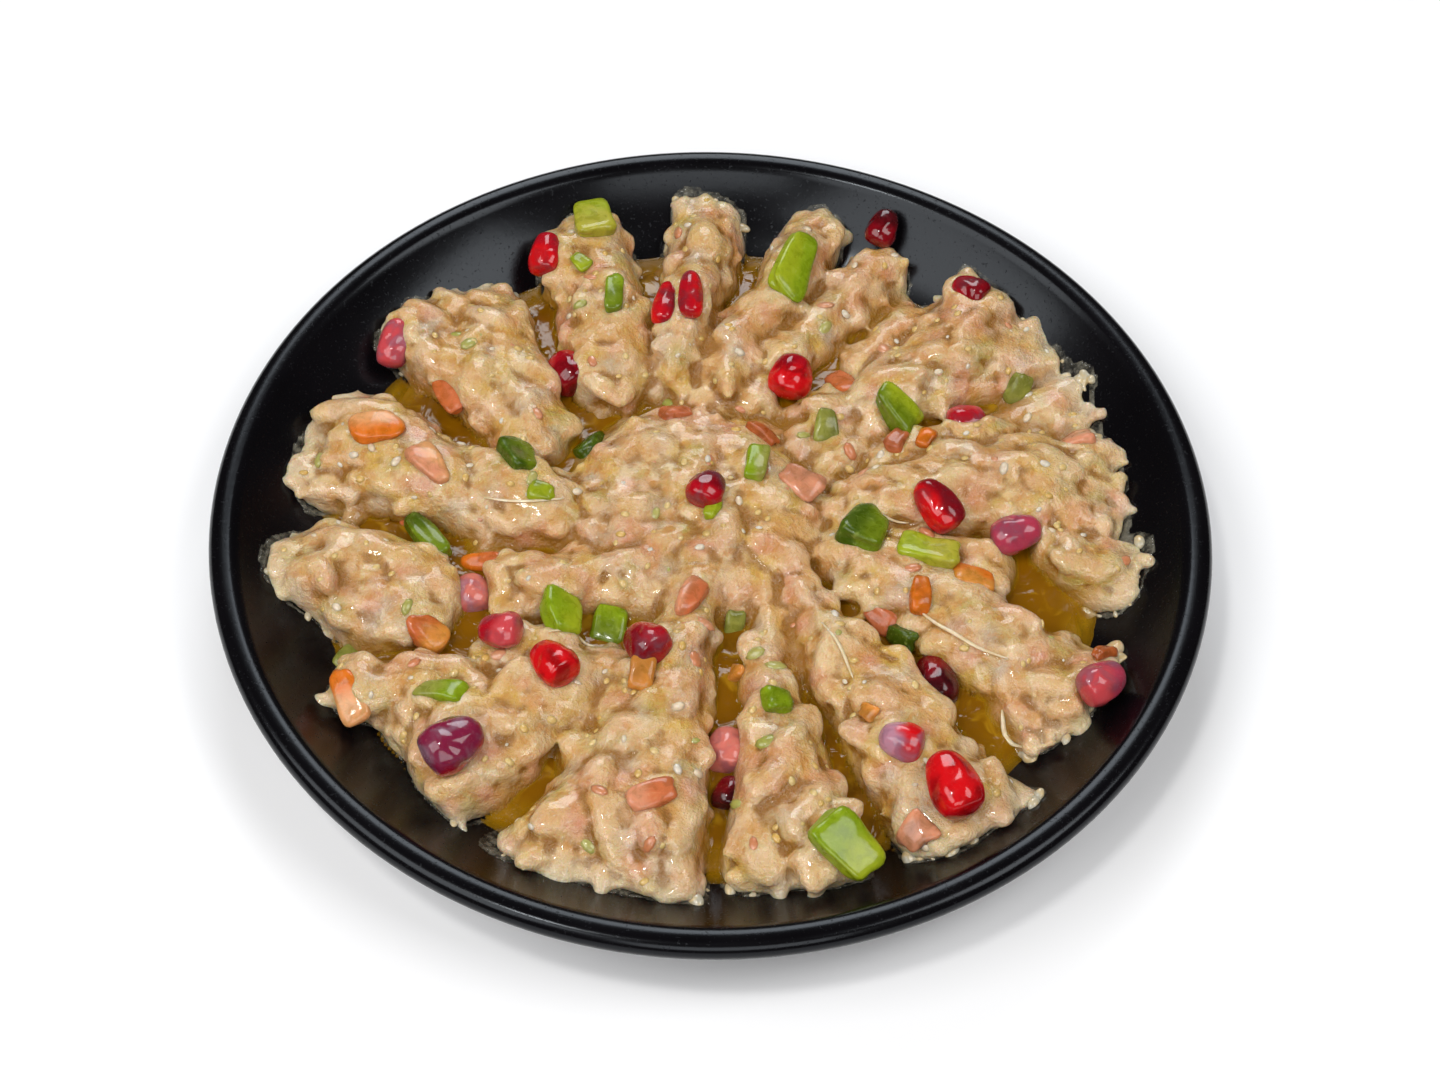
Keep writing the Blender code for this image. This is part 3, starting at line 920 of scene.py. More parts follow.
def mashFinish():
    look = dipFinish
    maker = Finish("aubergineMash")
    groove = maker.attribute("groove")
    hollow = maker.attribute("hollow")
    broad = maker.noise(9.0, 3.0, 0.6, 0.4)
    stained = maker.noise(16.0, 2.0, 0.5, 0.3)
    patch = maker.noise(3.4, 3.0, 0.6, 0.6)
    grain = maker.noise(0.9, 3.0, 0.65)
    color = maker.dyed(
        maker.attribute("lumpTint", "Color"),
        (stained, 0.55, 0.70, 0.55, look["stainAndGrooveShade"]),
        (stained, 0.45, 0.30, 0.42, look["stale"]),
        # pale pulp in patches, partly a painted highlight on the lumps
        (broad, 0.54, 0.68, 0.40, look["milkyAndHighlight"]),
        (patch, 0.50, 0.74, 0.42, look["milkyAndHighlight"]),
        (patch, 0.49, 0.34, 0.55, look["shade"]),
        # pale specks, partly flecks of pulp and partly painted glints
        (grain, 0.58, 0.72, 0.40, look["speck"]),
        # painted highlight on the crests of the lumps and painted shade in the crevices between them
        (hollow, 0.46, 0.15, 0.28, look["milkyAndHighlight"]),
        (hollow, 0.50, 0.82, 0.90, look["hollow"]))
    color = maker.blend(maker.attribute("paleEdge") * 0.7, color, look["edge"])
    # oil-soaked colour with painted shade low down at the foot of the petals, darker still at the bottom of
    # the grooves
    stainAndGrooveShade = maker.step(groove + 0.5 * (broad - 0.5), 0.12, 0.72)
    color = maker.blend(stainAndGrooveShade * 0.9, color, look["groove"])
    color = maker.dyed(color, (groove, 0.76, 1.0, 0.8, look["deep"]))
    bumped = maker.relief(0.9, look["relief"], 0.8 * patch + 0.9 * grain)
    roughness = 0.30 - 0.10 * groove - 0.16 * maker.step(patch, 0.42, 0.62)
    wet = maker.step(broad, 0.35, 0.65, 0.4, 0.95) * (1.0 - 0.6 * maker.step(hollow, 0.45, 0.75))
    scatter = (0.70, look["scatter"], look["scatterColor"])
    return maker.done(color, roughness, bumped, (wet, 0.06, 1.45), scatter,
                      **{"IOR": 1.45, "Specular IOR Level": 0.5})


def markHollows(mesh):
    # marks crevices between lumps with 1 and their crests with 0, from which the mash paints shade into the
    # crevices and highlight onto the crests
    points = pointsOf(mesh)
    normals = normalsOf(mesh)
    eased = mesh.copy()
    easePoints(eased, 14)
    sink = ((pointsOf(eased) - points) * normals).sum(1) / mm
    bpy.data.meshes.remove(eased)
    storeNumbers(mesh, "hollow", clipped(0.5 + 1.5 * sink))


def makeDip():
    random = np.random.default_rng(dipShape["seed"])
    rows = scatterLumps(random)
    mesh = remeshed(joined([mashBody(), lumpMesh(rows)], "mash"), dipShape["voxel"])
    easePoints(mesh, dipShape["easing"])
    clearOfPlate(mesh)
    points = pointsOf(mesh) / mm
    above = points[:, 2] - plateTop(np.hypot(points[:, 0], points[:, 1]))
    hidden = (above < -0.5) | ((above < 0.3) & (normalsOf(mesh)[:, 2] < -0.4))
    keepShare = 1.0 - dipShape["hiddenShare"] * hidden.mean()
    mesh = throughModifier(mesh, "DECIMATE", {
        "ratio": keepShare, "vertex_group": "part"}, np.flatnonzero(hidden))
    keepLargest(mesh)
    roughen(mesh)
    tintMesh(mesh, rows)
    markHollows(mesh)
    addPiece("aubergineMash", mesh, mashFinish(), "dip", "dip")
    mesh.calc_loop_triangles()
    print("dip:", len(rows), "lumps,", len(mesh.loop_triangles), "triangles")
    return mesh


def softCopy(nodeName, levels, crisp=0.0):
    # rounded copy of a solid, kept to the solid's own size
    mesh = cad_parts[nodeName].data.copy()
    mesh.name = nodeName + "Soft"
    with opened(mesh) as tool:
        bmesh.ops.remove_doubles(tool, verts=tool.verts, dist=weld)
        bmesh.ops.dissolve_limit(tool, angle_limit=math.radians(4.0), verts=tool.verts, edges=tool.edges)
        bmesh.ops.recalc_face_normals(tool, faces=tool.faces)
        crease = tool.edges.layers.float.new("crease_edge")
        for edge in tool.edges:
            edge[crease] = crisp
    before = pointsOf(mesh)
    mesh = throughModifier(mesh, "SUBSURF", {"levels": levels, "render_levels": levels})
    after = pointsOf(mesh)
    stretch = (before.max(0) - before.min(0)) / (after.max(0) - after.min(0))
    middle = 0.5 * (before.max(0) + before.min(0))
    movePoints(mesh, middle + (after - 0.5 * (after.max(0) + after.min(0))) * stretch)
    return mesh


def unevenSkin(mesh, amount, size, seed):
    points = pointsOf(mesh)
    push = amount * cloud(points / mm, size, seed)
    movePoints(mesh, points + normalsOf(mesh) * (push * mm)[:, None])


def softBlock(divisions, squareness):
    # unit cube rounded towards a ball, as points and faces
    tool = bmesh.new()
    bmesh.ops.create_cube(tool, size=2.0)
    bmesh.ops.subdivide_edges(tool, edges=tool.edges, cuts=divisions, use_grid_fill=True)
    points, faces = shapeOf(tool)
    reach = (np.abs(points) ** squareness).sum(1) ** (1.0 / squareness)
    return points / reach[:, None], faces


def dicedPiece(nodeName, seed, squareness):
    # uneven wet chunk of cut vegetable that fills the space of a solid
    random = np.random.default_rng(seed)
    middle, half, directions = solidShape(nodeName)
    points, faces = softBlock(7, squareness)
    bend, taper, lean, thin = random.uniform(-1.0, 1.0, 4)
    points = points * (1.0 + 0.16 * cloud(points, 0.75, seed))[:, None]
    points[:, 1] = points[:, 1] * (1.0 - 0.32 * taper * points[:, 0]) + 0.22 * lean * points[:, 0]
    points[:, 2] = points[:, 2] * (1.0 - 0.25 * thin * points[:, 1]) + 0.22 * bend * points[:, 0] ** 2
    points = (points - 0.5 * (points.max(0) + points.min(0))) / (0.5 * (points.max(0) - points.min(0)))
    return meshOf(nodeName + "Diced", (points * half) @ directions + middle, faces.tolist(), unit=1.0)


def twoTone(mesh, first, second, axis, seed):
    # from one color to another along the longest, middle or shortest direction of a piece
    points = pointsOf(mesh)
    centered = points - points.mean(0)
    line = np.linalg.svd(centered, full_matrices=False)[2][axis]
    line = line if line[2] + 0.5 * line[0] > 0.0 else -line
    reach = centered @ line
    share = (reach - reach.min()) / (reach.max() - reach.min()) + 0.22 * cloud(points / mm, 2.5, seed)
    share = smoothShare(share, 0.30, 0.70)[:, None]
    storeColors(mesh, "flesh", np.array(first) * (1.0 - share) + np.array(second) * share)


fruitTones = {
    "scarlet": (0.620, 0.005, 0.008),
    "ruby": (0.410, 0.004, 0.012),
    "garnet": (0.210, 0.002, 0.007),
    "maroon": (0.075, 0.004, 0.007),
    "rose": (0.560, 0.065, 0.075),
    "blush": (0.600, 0.170, 0.130),
    "plum": (0.200, 0.012, 0.045),
    "magenta": (0.430, 0.045, 0.085),
    "lilac": (0.480, 0.230, 0.300),
    "russet": (0.440, 0.085, 0.050),
}

# for each aril in turn: first tone, second tone, direction of the change, milky film
arilLooks = [
    ("garnet", "maroon", 0, 0.0),
    ("scarlet", "ruby", 0, 0.1),
    ("scarlet", "ruby", 1, 0.1),
    ("ruby", "scarlet", 1, 0.1),
    ("ruby", "garnet", 0, 0.0),
    ("scarlet", "ruby", 0, 0.0),
    ("rose", "ruby", 1, 0.2),
    ("ruby", "garnet", 0, 0.2),
    ("scarlet", "garnet", 1, 0.1),
    ("rose", "magenta", 2, 0.3),
    ("rose", "blush", 2, 0.6),
    ("ruby", "rose", 0, 0.3),
    ("garnet", "ruby", 1, 0.3),
    ("scarlet", "scarlet", 0, 0.0),
    ("garnet", "maroon", 0, 0.0),
    ("rose", "magenta", 0, 0.4),
    ("ruby", "plum", 2, 0.7),
    ("lilac", "scarlet", 0, 0.5),
    ("russet", "blush", 2, 0.3),
    ("maroon", "garnet", 0, 0.0),
    ("ruby", "scarlet", 2, 0.0),
    ("ruby", "garnet", 0, 0.1),
    ("plum", "rose", 2, 0.5),
]

leafTones = {
    "lime": (0.340, 0.400, 0.012),
    "spring": (0.235, 0.330, 0.006),
    "leaf": (0.150, 0.210, 0.005),
    "bottle": (0.065, 0.110, 0.003),
    "yellow": (0.430, 0.390, 0.035),
    "faded": (0.290, 0.290, 0.050),
}

# for each piece in turn: first tone, second tone, direction of the change
pepperLooks = [
    ("lime", "yellow", 0),
    ("lime", "spring", 1),
    ("leaf", "spring", 0),
    ("leaf", "lime", 1),
    ("bottle", "leaf", 1),
    ("spring", "faded", 1),
    ("bottle", "leaf", 0),
    ("bottle", "leaf", 1),
    ("lime", "yellow", 0),
    ("leaf", "spring", 0),
    ("spring", "lime", 1),
    ("faded", "spring", 0),
    ("lime", "spring", 0),
]

carrotTones = {
    "orange": (0.680, 0.165, 0.010),
    "coral": (0.580, 0.155, 0.055),
    "salmon": (0.660, 0.270, 0.145),
    "brick": (0.520, 0.125, 0.028),
    "amber": (0.640, 0.250, 0.040),
    "peach": (0.740, 0.350, 0.140),
}

tomatoLooks = [
    ("coral", "brick", 0),
    ("brick", "coral", 1),
    ("peach", "orange", 1),
    ("salmon", "peach", 1),
    ("orange", "brick", 0),
    ("orange", "amber", 1),
    ("salmon", "coral", 1),
    ("brick", "amber", 0),
    ("peach", "orange", 0),
    ("salmon", "coral", 0),
]

garnishFinish = {
    "aril": {"scatter": 2.2, "radius": (1.0, 0.16, 0.12), "film": (0.60, 0.36, 0.48)},
    "pepper": {"scatter": 0.8, "radius": (0.7, 1.0, 0.2), "pale": (0.46, 0.54, 0.12)},
    "tomato": {"scatter": 1.2, "radius": (1.0, 0.35, 0.15), "pale": (0.70, 0.36, 0.18)},
}


def arilFinish():
    look = garnishFinish["aril"]
    maker = Finish("pomegranateFlesh")
    flesh = maker.attribute("flesh", "Color")
    film = maker.attribute("film")
    cloudy = maker.noise(4.2, 2.0, 0.5, 0.7)
    veins = maker.noise(0.9, 2.0, 0.5, 1.2)
    color = maker.dulled(cloudy, 0.42, 0.68, 0.0, 0.75, flesh, (0.36, 0.20, 0.28))
    color = maker.dyed(color, (veins, 0.62, 0.78, 0.18, (0.70, 0.07, 0.05)))
    color = maker.blend(film * maker.step(cloudy, 0.42, 0.80, 0.0, 0.6), color, look["film"])
    bumped = maker.relief(0.35, 0.25, cloudy + 0.3 * veins)
    return maker.done(color, maker.step(veins, 0.3, 0.7, 0.12, 0.30), bumped, (0.9, 0.03, 1.45),
                      (0.45, look["scatter"], look["radius"]), **{"IOR": 1.40, "Specular IOR Level": 0.15})


def vegetableFinish(name, scatter, radius, pale):
    # wet cut vegetable: cloudy flesh, pale veins, glossy skin of juice
    maker = Finish(name)
    flesh = maker.attribute("flesh", "Color")
    cloudy = maker.noise(2.2, 3.0, 0.6, 0.6)
    cells = maker.add("ShaderNodeTexVoronoi", {"Vector": maker.place, "Scale": 1100.0}, "Distance")
    grain = maker.noise(0.7)
    color = maker.dulled(cloudy, 0.30, 0.62, 0.50, 0.0, flesh, (0.50, 0.55, 0.40))
    color = maker.dyed(color, (cloudy, 0.58, 0.80, 0.45, pale), (cells, 0.25, 0.05, 0.20, pale))
    bumped = maker.relief(0.4, 0.25, cloudy + 0.35 * grain - 0.3 * cells)
    return maker.done(color, maker.step(cloudy, 0.3, 0.7, 0.22, 0.42), bumped, (0.5, 0.09),
                      (0.35, scatter, radius), **{"IOR": 1.42, "Specular IOR Level": 0.2})


def makeGarnish(pepperSkin, tomatoSkin):
    arilSkin = arilFinish()
    for order, (node, (first, second, axis, film)) in enumerate(zip(arilNodes, arilLooks)):
        mesh = softCopy(node, 3, 0.28)
        unevenSkin(mesh, 0.16, 3.5, order)
        twoTone(mesh, fruitTones[first], fruitTones[second], axis, order)
        storeNumbers(mesh, "film", np.full(len(mesh.vertices), film))
        addPiece(node + ".flesh", mesh, arilSkin, "aril", node)
    for slotName, nodes, looks, tones, skin, squareness in (
            ("pepper", pepperNodes, pepperLooks, leafTones, pepperSkin, 5.0),
            ("tomato", tomatoNodes, tomatoLooks, carrotTones, tomatoSkin, 3.4)):
        for order, (node, (first, second, axis)) in enumerate(zip(nodes, looks)):
            mesh = dicedPiece(node, 40 + order, squareness)
            twoTone(mesh, tones[first], tones[second], axis, 60 + order)
            addPiece(node + ".flesh", mesh, skin, slotName, node)
    print("garnish:", len(arilLooks), "arils", len(pepperLooks), "peppers", len(tomatoLooks), "tomatoes")


# smaller chopped bits: x y, heading, length, width, thickness, tone, how deep it is sunk
pepperBits = [
    (-26, 21, 30, 8.0, 5.5, 3.5, "bottle", 1.2),
    (13.5, -45, 80, 6.0, 5.0, 3.0, "spring", 1.0),
    (38, -25.5, 20, 7.0, 4.0, 2.5, "bottle", 0.8),
    (-34.5, 3.5, -20, 5.5, 4.0, 2.5, "lime", 1.0),
    (-70.5, -31.5, 70, 6.0, 4.5, 3.0, "faded", 0.8),
    (23.5, 26, 80, 7.5, 4.5, 2.0, "faded", 0.8),
    (5, -23, 70, 7.0, 4.0, 2.0, "faded", 0.9),
    (64, 38, 50, 7.0, 4.5, 2.0, "faded", 0.7),
    (0, 0, 10, 4.5, 3.0, 2.0, "lime", 0.8),
    (-30, 66, -20, 5.0, 3.5, 2.0, "lime", 0.7),
    (4, -28, 80, 6.0, 3.0, 2.0, "leaf", 0.9),
]

tomatoBits = [
    (-8, 27.5, 20, 6.5, 3.5, 2.5, "coral", 0.9),
    (10, 22.5, 5, 8.0, 3.0, 2.5, "brick", 0.9),
    (75.5, 24, -20, 7.0, 6.0, 2.5, "salmon", 0.9),
    (18, 9.5, -20, 9.0, 6.0, 2.5, "salmon", 1.2),
    (41.5, -19, 60, 8.0, 4.0, 3.0, "orange", 0.8),
    (-12.5, -40, 70, 7.0, 5.0, 3.0, "amber", 1.0),
    (39.5, -72, 80, 7.0, 6.0, 2.5, "salmon", 1.0),
    (6, -34, 80, 8.0, 4.0, 3.0, "amber", 0.9),
    (38, 22, 10, 6.0, 4.0, 2.5, "coral", 0.9),
    (44, 22, -10, 5.0, 3.5, 2.5, "orange", 0.9),
    (77, -31, 50, 6.0, 2.5, 2.0, "brick", 0.4),
    (34, -21, -10, 7.0, 4.5, 2.5, "coral", 1.1),
    (-60, 0, 30, 6.0, 4.0, 2.5, "coral", 1.1),
    (31, -47, 40, 4.0, 3.0, 2.0, "amber", 0.7),
]


def mashFinder(mesh):
    points = [vert.co.copy() for vert in mesh.vertices]
    faces = [list(face.vertices) for face in mesh.polygons]
    return BVHTree.FromPolygons(points, faces)


def spotOn(finder, x, y):
    # place and slope of the mash under a point
    place, slope, _, _ = finder.ray_cast(Vector((x, y, 60.0)) * mm, Vector((0.0, 0.0, -1.0)))
    if place:
        return place, slope
    return Vector((x, y, float(plateTop(math.hypot(x, y))))) * mm, Vector((0.0, 0.0, 1.0))


def makeBits(name, table, tones, skin, slotName, finder, seed):
    base, faces = softBlock(5, 5.0)
    shapes = []
    colors = []
    for order, (x, y, turn, long, wide, thick, tone, sunk) in enumerate(table):
        shape = base * (1.0 + 0.20 * cloud(base, 0.75, seed + order))[:, None]
        shape[:, 1] *= 1.0 + 0.3 * math.sin(seed + 2.4 * order) * shape[:, 0]
        shape = shape * np.array((long, wide, thick)) * 0.5
        shape[:, 2] -= 0.03 * shape[:, 0] ** 2
        place, slope = spotOn(finder, x, y)
        spin = slope.to_track_quat("Z", "Y").to_matrix() @ Matrix.Rotation(math.radians(turn), 3, "Z")
        lift = np.array(place) / mm + np.array(slope) * (0.5 * thick - sunk)
        shapes.append(shape @ np.array(spin.transposed()) + lift)
        shade = 0.85 + 0.3 * cloud(shape, 2.0, seed + order)
        colors.append(np.array(tones[tone]) * shade[:, None])
    mesh = copiesMesh(name, shapes, faces)
    storeColors(mesh, "flesh", clipped(np.concatenate(colors)))
    addPiece(name, mesh, skin, slotName)
    print(name, len(table))


# seeds and flecks: half length, width and thickness, smallest and largest scale, how deep they sink,
# how many lie on a square centimetre, seed, two tones
crumbKinds = {
    "strawSeeds": ((1.0, 0.75, 0.42), (0.7, 1.2), 0.15, 1.20, 3,
                   ((0.62, 0.38, 0.085), (0.68, 0.50, 0.20))),
    "paleFlecks": ((1.1, 0.7, 0.45), (0.4, 1.4), 0.12, 0.50, 8,
                   ((0.72, 0.58, 0.40), (0.66, 0.60, 0.50))),
    "redFlecks": ((1.7, 1.0, 0.5), (0.5, 1.5), 0.30, 0.22, 14,
                  ((0.58, 0.20, 0.075), (0.60, 0.28, 0.14))),
    "greenFlecks": ((1.6, 1.0, 0.5), (0.5, 1.5), 0.30, 0.14, 21,
                    ((0.34, 0.34, 0.06), (0.44, 0.40, 0.12))),
}
ballSegments = 8
ballRings = 5


def scatterTree():
    # lays small rounded crumbs over a surface, flat on it and turned at random
    tree, maker, take = startTree("scatterCrumbs", Density="Float", Seed="Int", Size="Vector",
                                  Smallest="Float", Largest="Float", Sink="Float")

    def chance(kind, seed, output, limits):
        sockets = {**limits, 8: take["Seed"] + seed}
        return maker.add("FunctionNodeRandomValue", sockets, output, data_type=kind)

    room = maker.add("GeometryNodeInputNamedAttribute", {"Name": "layRoom"}, data_type="FLOAT")
    spots = maker.add("GeometryNodeDistributePointsOnFaces", {
        "Mesh": take["Geometry"], "Density": take["Density"] * room, "Seed": take["Seed"]})
    normal, level = [Wire(tree, spots.socket.node.outputs[name]) for name in ("Normal", "Rotation")]
    spots = maker.add("GeometryNodeStoreNamedAttribute", {
        "Geometry": spots, "Name": "shade", "Value": chance("FLOAT", 1.0, 1, {})},
        data_type="FLOAT", domain="POINT")
    down = maker.add("ShaderNodeVectorMath", {0: normal, "Scale": 0.0 - take["Sink"]}, operation="SCALE")
    spots = maker.add("GeometryNodeSetPosition", {"Geometry": spots, "Offset": down})
    turn = chance("FLOAT_VECTOR", 2.0, 0, {0: (-0.3, -0.3, 0.0), 1: (0.3, 0.3, 6.283)})
    turned = maker.add("FunctionNodeRotateRotation", {"Rotation": level, "Rotate By": turn},
                       rotation_space="LOCAL")
    scale = chance("FLOAT", 3.0, 1, {2: take["Smallest"], 3: take["Largest"]})
    ball = maker.add("GeometryNodeMeshUVSphere", {
        "Segments": ballSegments, "Rings": ballRings, "Radius": 1.0}, "Mesh")
    ball = maker.add("GeometryNodeTransform", {"Geometry": ball, "Scale": take["Size"]})
    placed = maker.add("GeometryNodeInstanceOnPoints", {
        "Points": spots, "Instance": ball, "Rotation": turned, "Scale": scale})
    return endTree(tree, maker, placed, take["Finish"])


def crumbFinish(name, tones):
    maker = Finish(name)
    shade = maker.attribute("shade")
    grain = maker.noise(0.8)
    color = maker.blend(shade, *tones)
    color = maker.dulled(grain, 0.4, 0.75, 0.0, 0.5, color, (0.66, 0.58, 0.50))
    bumped = maker.relief(0.3, 0.15, grain)
    return maker.done(color, maker.step(grain, 0.3, 0.7, 0.28, 0.42), bumped, (0.6, 0.1),
                      (0.4, 1.0, (1.0, 0.6, 0.3)))


def makeCrumbs(mash):
    tree = scatterTree()
    for name, (size, (smallest, largest), sink, density, seed, tones) in crumbKinds.items():
        finish = crumbFinish(name, tones)
        mesh = growWith(tree, mash.copy(), {
            "Density": density * 1.0e4, "Seed": seed, "Size": [part * mm for part in size],
            "Smallest": smallest, "Largest": largest, "Sink": sink * mm, "Finish": finish}, name)
        for layer in ("lumpTint", "groove", "paleEdge", "layRoom", "hollow"):
            if layer in mesh.attributes:
                mesh.attributes.remove(mesh.attributes[layer])
        addPiece(name, mesh, finish, "dip")
        print(name, len(mesh.polygons) // (ballSegments * ballRings))


# oil that stands in the grooves
oilShape = {
    "level": 9.0,
    "outerDrop": 2.4,
    "dropBand": (66.0, 84.0),
    "step": 0.8,
    "reach": 88.0,
    "ripples": ((0.10, 6.0), (0.06, 2.5)),
    "creep": 0.5,
    "body": 0.8,
}

oilFinish = {
    "clear": (0.480, 0.240, 0.003),
    "deep": (0.235, 0.095, 0.001),
    "bright": (0.620, 0.350, 0.012),
    "thin": 0.30,
    "thick": 0.88,
}


def oilLevel(radius):
    return oilShape["level"] - oilShape["outerDrop"] * smoothShare(radius, *oilShape["dropBand"])


def makeOil():
    x, y, radius = planGrid(oilShape["reach"], oilShape["step"])
    bed = bedTop(x, y)
    level = oilLevel(radius)
    depth = level - bed
    wave = sum(height * flatCloud(x, y, size, 31 + order)
               for order, (height, size) in enumerate(oilShape["ripples"]))
    creep = oilShape["creep"] * np.clip(-depth, 0.0, 3.0)    # it climbs a little where it meets the walls
    top = level + wave + creep
    under = np.minimum(bed, level) - oilShape["body"]
    mesh = gridSolid("oilPools", x, y, top, under, (depth > -2.5) & (radius < oilShape["reach"]))
    clearOfPlate(mesh)
    points = pointsOf(mesh) / mm
    below = oilLevel(np.hypot(points[:, 0], points[:, 1])) - bedTop(points[:, 0], points[:, 1])
    storeNumbers(mesh, "oilDepth", clipped(below / 2.2))
    maker = Finish("oliveOil")
    depthShare = maker.attribute("oilDepth")
    swirl = maker.noise(5.0, 3.0, 0.5, 0.8)
    color = maker.blend(maker.step(depthShare + 0.4 * (swirl - 0.5), 0.15, 0.95),
                        oilFinish["clear"], oilFinish["deep"])
    color = maker.dyed(color, (swirl, 0.52, 0.72, 0.45, oilFinish["bright"]))
    opaque = maker.step(depthShare, 0.0, 1.0, oilFinish["thin"], oilFinish["thick"])
    oil = maker.done(color, maker.step(swirl, 0.3, 0.7, 0.05, 0.12), maker.relief(0.5, 0.6, swirl),
                     IOR=1.47, Alpha=opaque)
    addPiece("oilPools", mesh, oil, "dip")
    print("oil:", len(mesh.polygons), "faces")


# film of juice and bits of pulp where the mash meets the bare plate
edgeShape = {
    "step": 0.7,
    "gridReach": 94.0,
    "filmReach": 1.7,
    "filmHeight": 0.45,
    "filmBand": (64.0, 92.0),
    "pulpBand": (66.0, 90.0),
    "count": 300,
    "seed": 12,
    "size": (0.5, 1.5),
    "voxel": 0.42,
    "pale": (0.60, 0.56, 0.43),
    "straw": (0.62, 0.46, 0.22),
    "film": (0.36, 0.33, 0.24),
}


def juiceFinish(name, tones, alpha):
    maker = Finish(name)
    cloudy = maker.noise(2.2, 3.0, 0.6)
    grain = maker.noise(0.8)
    color = maker.blend(maker.step(cloudy, 0.35, 0.65), *tones)
    bumped = maker.relief(0.4, 0.25, cloudy + 0.4 * grain)
    return maker.done(color, maker.step(grain, 0.3, 0.7, 0.12, 0.3), bumped, (0.8, 0.06),
                      Alpha=maker.step(cloudy + 0.4 * grain, 0.5, 0.9, *alpha))


def within(value, band):
    return (value > band[0]) & (value < band[1])


def makeWetEdge():
    random = np.random.default_rng(edgeShape["seed"])
    x, y, radius = planGrid(edgeShape["gridReach"], edgeShape["step"])
    deep = dipTop(*warped(x, y))[1]
    spill = edgeShape["filmReach"] * (0.55 + 0.6 * flatCloud(x, y, 7.0, 41) + 0.25 * flatCloud(x, y, 2.5, 42))
    under = plateTop(radius)
    inside = (deep > -spill) & (deep < 1.5) & within(radius, edgeShape["filmBand"])
    film = gridSolid("juiceFilm", x, y, under + edgeShape["filmHeight"], under - 0.25, inside)
    easePoints(film, 3)
    filmFinish = juiceFinish("juiceFilm", (edgeShape["film"], edgeShape["pale"]), (0.03, 0.24))
    addPiece("juiceFilm", film, filmFinish, "dip")
    near = np.argwhere(within(radius, edgeShape["pulpBand"]) & within(deep, (0.2, 2.0)))
    smallest, largest = edgeShape["size"]
    rows = []
    for row, column in near[random.choice(len(near), edgeShape["count"])]:
        size = smallest + (largest - smallest) * random.random() ** 1.6
        rows.append(((x[row, column], y[row, column], under[row, column] + 0.2 * size),
                     (size * 1.5, size, size * 0.8), random.uniform(0.0, 6.28),
                     random.uniform(-1.0, 1.0, 2)))
    pulp = remeshed(lumpMesh(rows), edgeShape["voxel"])
    easePoints(pulp, 2)
    clearOfPlate(pulp)
    pulpFinish = juiceFinish("edgePulp", (edgeShape["pale"], edgeShape["straw"]), (0.75, 1.0))
    addPiece("edgePulp", pulp, pulpFinish, "dip")
    print("wet edge:", len(film.polygons), "film faces,", len(pulp.polygons), "pulp faces")


# pale fibres: points x y along each strand, half width, how high it stands off the mash
strands = [
    (((41, -22), (45, -26), (51, -31), (58, -34)), 0.45, 0.5),
    (((57, -42), (57.5, -46), (61, -50)), 0.55, 0.4),
    (((22, -26), (26, -33), (28, -39)), 0.35, 0.3),
    (((-46, 2), (-38, 1), (-30, 2)), 0.35, 0.3),
    (((-22, -30), (-26, -28), (-31, -30)), 0.40, 0.4),
    (((30, 4), (35, 1), (40, 1)), 0.35, 0.3),
]


strandShape = {
    "sides": 8,
    "flatness": 0.6,
    "pale": (0.74, 0.62, 0.42),
    "straw": (0.66, 0.50, 0.28),
}


def makeStrands(finder):
    points = np.empty((0, 3))
    faces = []
    turns = np.arange(strandShape["sides"]) * math.tau / strandShape["sides"]
    for path, half, lift in strands:
        knots = np.array(path, float)
        steps = np.arange(6 * (len(knots) - 1) + 1) / 6.0
        line = np.column_stack([np.interp(steps, np.arange(len(knots)), part) for part in knots.T])
        for _ in range(4):
            line[1:-1] = 0.25 * line[:-2] + 0.5 * line[1:-1] + 0.25 * line[2:]
        heights = [spotOn(finder, x, y)[0].z / mm for x, y in line]
        heights = np.convolve(np.pad(heights, 2, "edge"), np.ones(5) / 5.0, "valid")
        padded = np.pad(line, ((1, 1), (0, 0)), "edge")
        ahead = padded[2:] - padded[:-2]
        ahead /= np.linalg.norm(ahead, axis=1)[:, None]
        girth = half * np.sin(math.pi * (np.arange(len(line)) + 0.5) / len(line)) ** 0.5
        across = np.outer(girth, np.cos(turns))
        rise = strandShape["flatness"] * np.outer(girth, np.sin(turns))
        rings = np.stack([line[:, :1] - ahead[:, 1:] * across, line[:, 1:] + ahead[:, :1] * across,
                          (heights + lift)[:, None] + rise], -1)
        index = len(points) + np.arange(across.size).reshape(across.shape)
        after = np.roll(index, -1, 1)
        points = np.concatenate([points, rings.reshape(-1, 3)])
        faces += np.stack([index[:-1], after[:-1], after[1:], index[1:]], -1).reshape(-1, 4).tolist()
        faces += [index[0][::-1].tolist(), index[-1].tolist()]
    mesh = meshOf("membranes", points, faces)
    with opened(mesh) as tool:
        bmesh.ops.recalc_face_normals(tool, faces=tool.faces)
    maker = Finish("membrane")
    color = maker.blend(maker.step(maker.noise(1.6), 0.35, 0.65), strandShape["pale"], strandShape["straw"])
    membrane = maker.done(color, 0.3, None, (0.7, 0.08), (0.4, 1.0, (1.0, 0.6, 0.3)))
    addPiece("membranes", mesh, membrane, "dip")
    print("membranes:", len(strands))


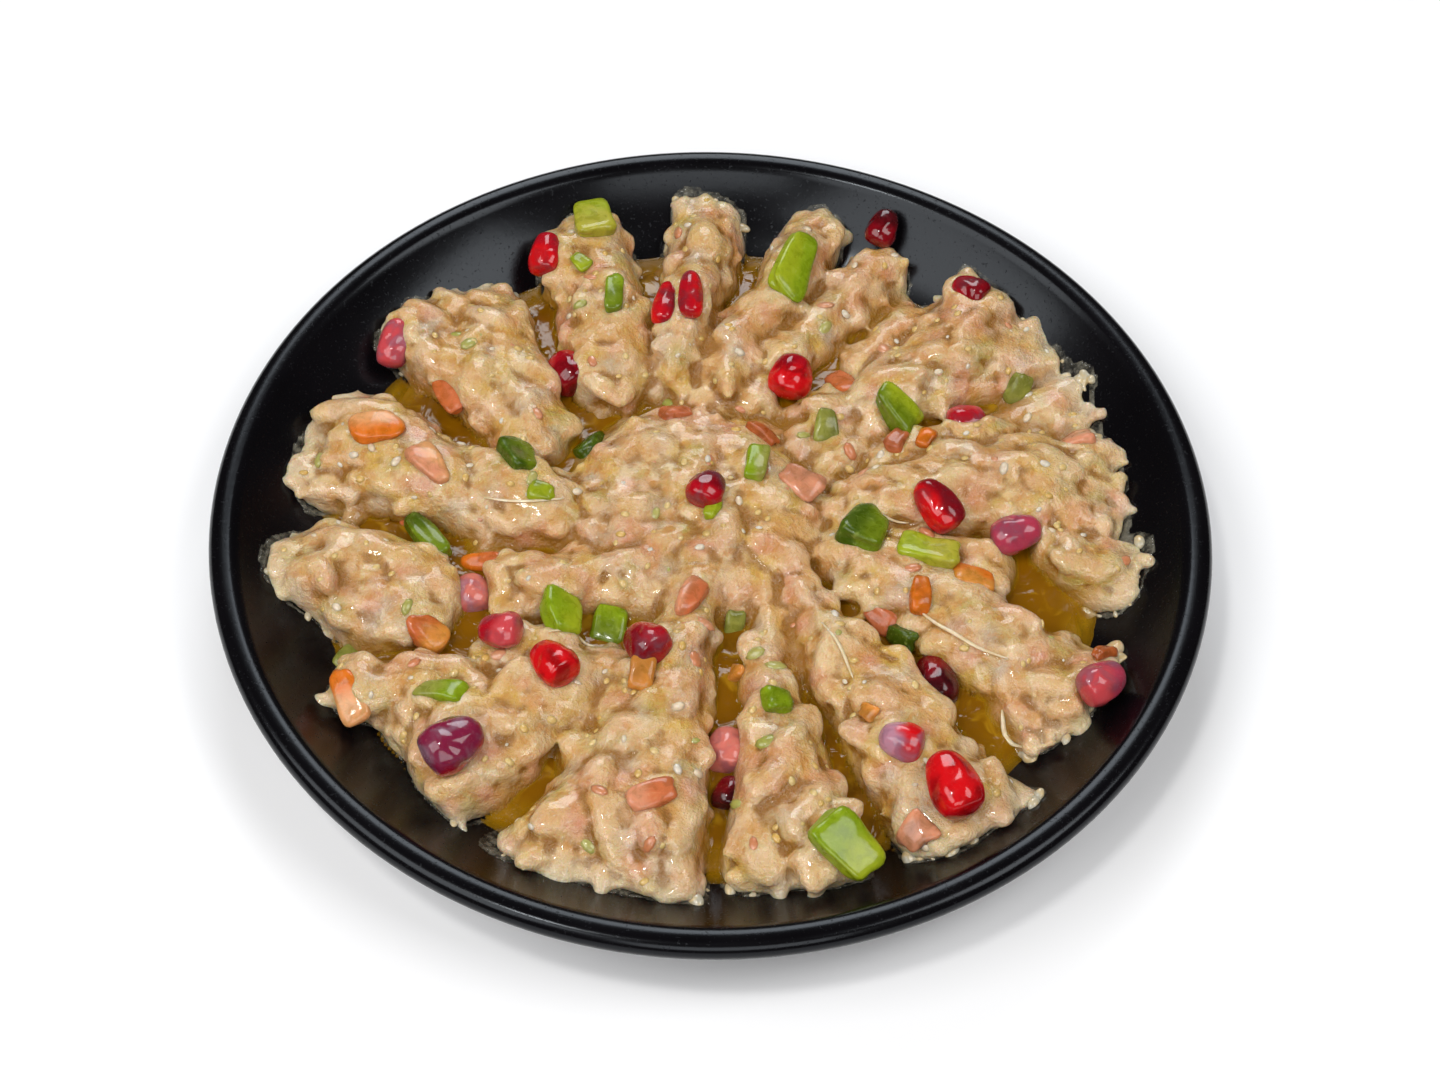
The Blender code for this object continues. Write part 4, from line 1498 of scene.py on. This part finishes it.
studioSetup = {
    "floor": (0.97, 0.97, 0.98),
    "sky": 0.045,
    "panels": {
        # x y z of each panel, its width and height, its radiance and its tint
        "left": (-0.65, -0.34, 0.87, 0.95, 0.60, 4.0, (1.0, 1.0, 1.0)),
        "spark": (-0.30, -0.22, 1.05, 0.12, 0.12, 48.0, (1.0, 0.99, 0.97)),
        "right": (0.58, -0.15, 0.90, 0.50, 0.50, 4.8, (1.0, 1.0, 1.0)),
        "front": (0.10, -0.95, 0.75, 0.70, 0.55, 3.2, (1.0, 1.0, 1.0)),
        "back": (-0.05, 0.91, 0.75, 0.50, 0.50, 6.0, (0.92, 0.96, 1.0)),
    },
}


def makeStage():
    half = 3.0
    corners = [(-half, -half, 0), (half, -half, 0), (half, half, 0), (-half, half, 0)]
    floorMesh = meshOf("floor", corners, [(0, 1, 2, 3)], unit=1.0)
    floorMesh.materials.append(Finish("paleFloor").done(studioSetup["floor"], 0.8))
    floor = addObject("floor", floorMesh)
    world = bpy.data.worlds.new("studio")
    bpy.context.scene.world = world
    world.use_nodes = True
    backdrop = world.node_tree.nodes["Background"]
    backdrop.inputs["Color"].default_value = (1.0, 1.0, 1.0, 1.0)
    backdrop.inputs["Strength"].default_value = studioSetup["sky"]
    for name, (x, y, z, width, height, radiance, tint) in studioSetup["panels"].items():
        panel = bpy.data.lights.new(name, "AREA")
        panel.shape = "RECTANGLE"
        panel.size = width
        panel.size_y = height
        panel.color = tint
        panel.energy = radiance * math.pi * width * height
        lamp = addObject(name, panel)
        lamp.location = (x, y, z)
        lamp.rotation_euler = Vector((x, y, z)).to_track_quat("Z", "Y").to_euler()
    bpy.context.scene.view_settings.view_transform = "Standard"


makeCamera(cameraSetup)
makeStage()
makePlate()
mash = makeDip()
finder = mashFinder(mash)
pepperSkin = vegetableFinish("greenPepper", **garnishFinish["pepper"])
tomatoSkin = vegetableFinish("softTomato", **garnishFinish["tomato"])
makeGarnish(pepperSkin, tomatoSkin)
makeBits("pepperBits", pepperBits, leafTones, pepperSkin, "pepper", finder, 80)
makeBits("tomatoBits", tomatoBits, carrotTones, tomatoSkin, "tomato", finder, 120)
makeCrumbs(mash)
makeOil()
makeWetEdge()
makeStrands(finder)
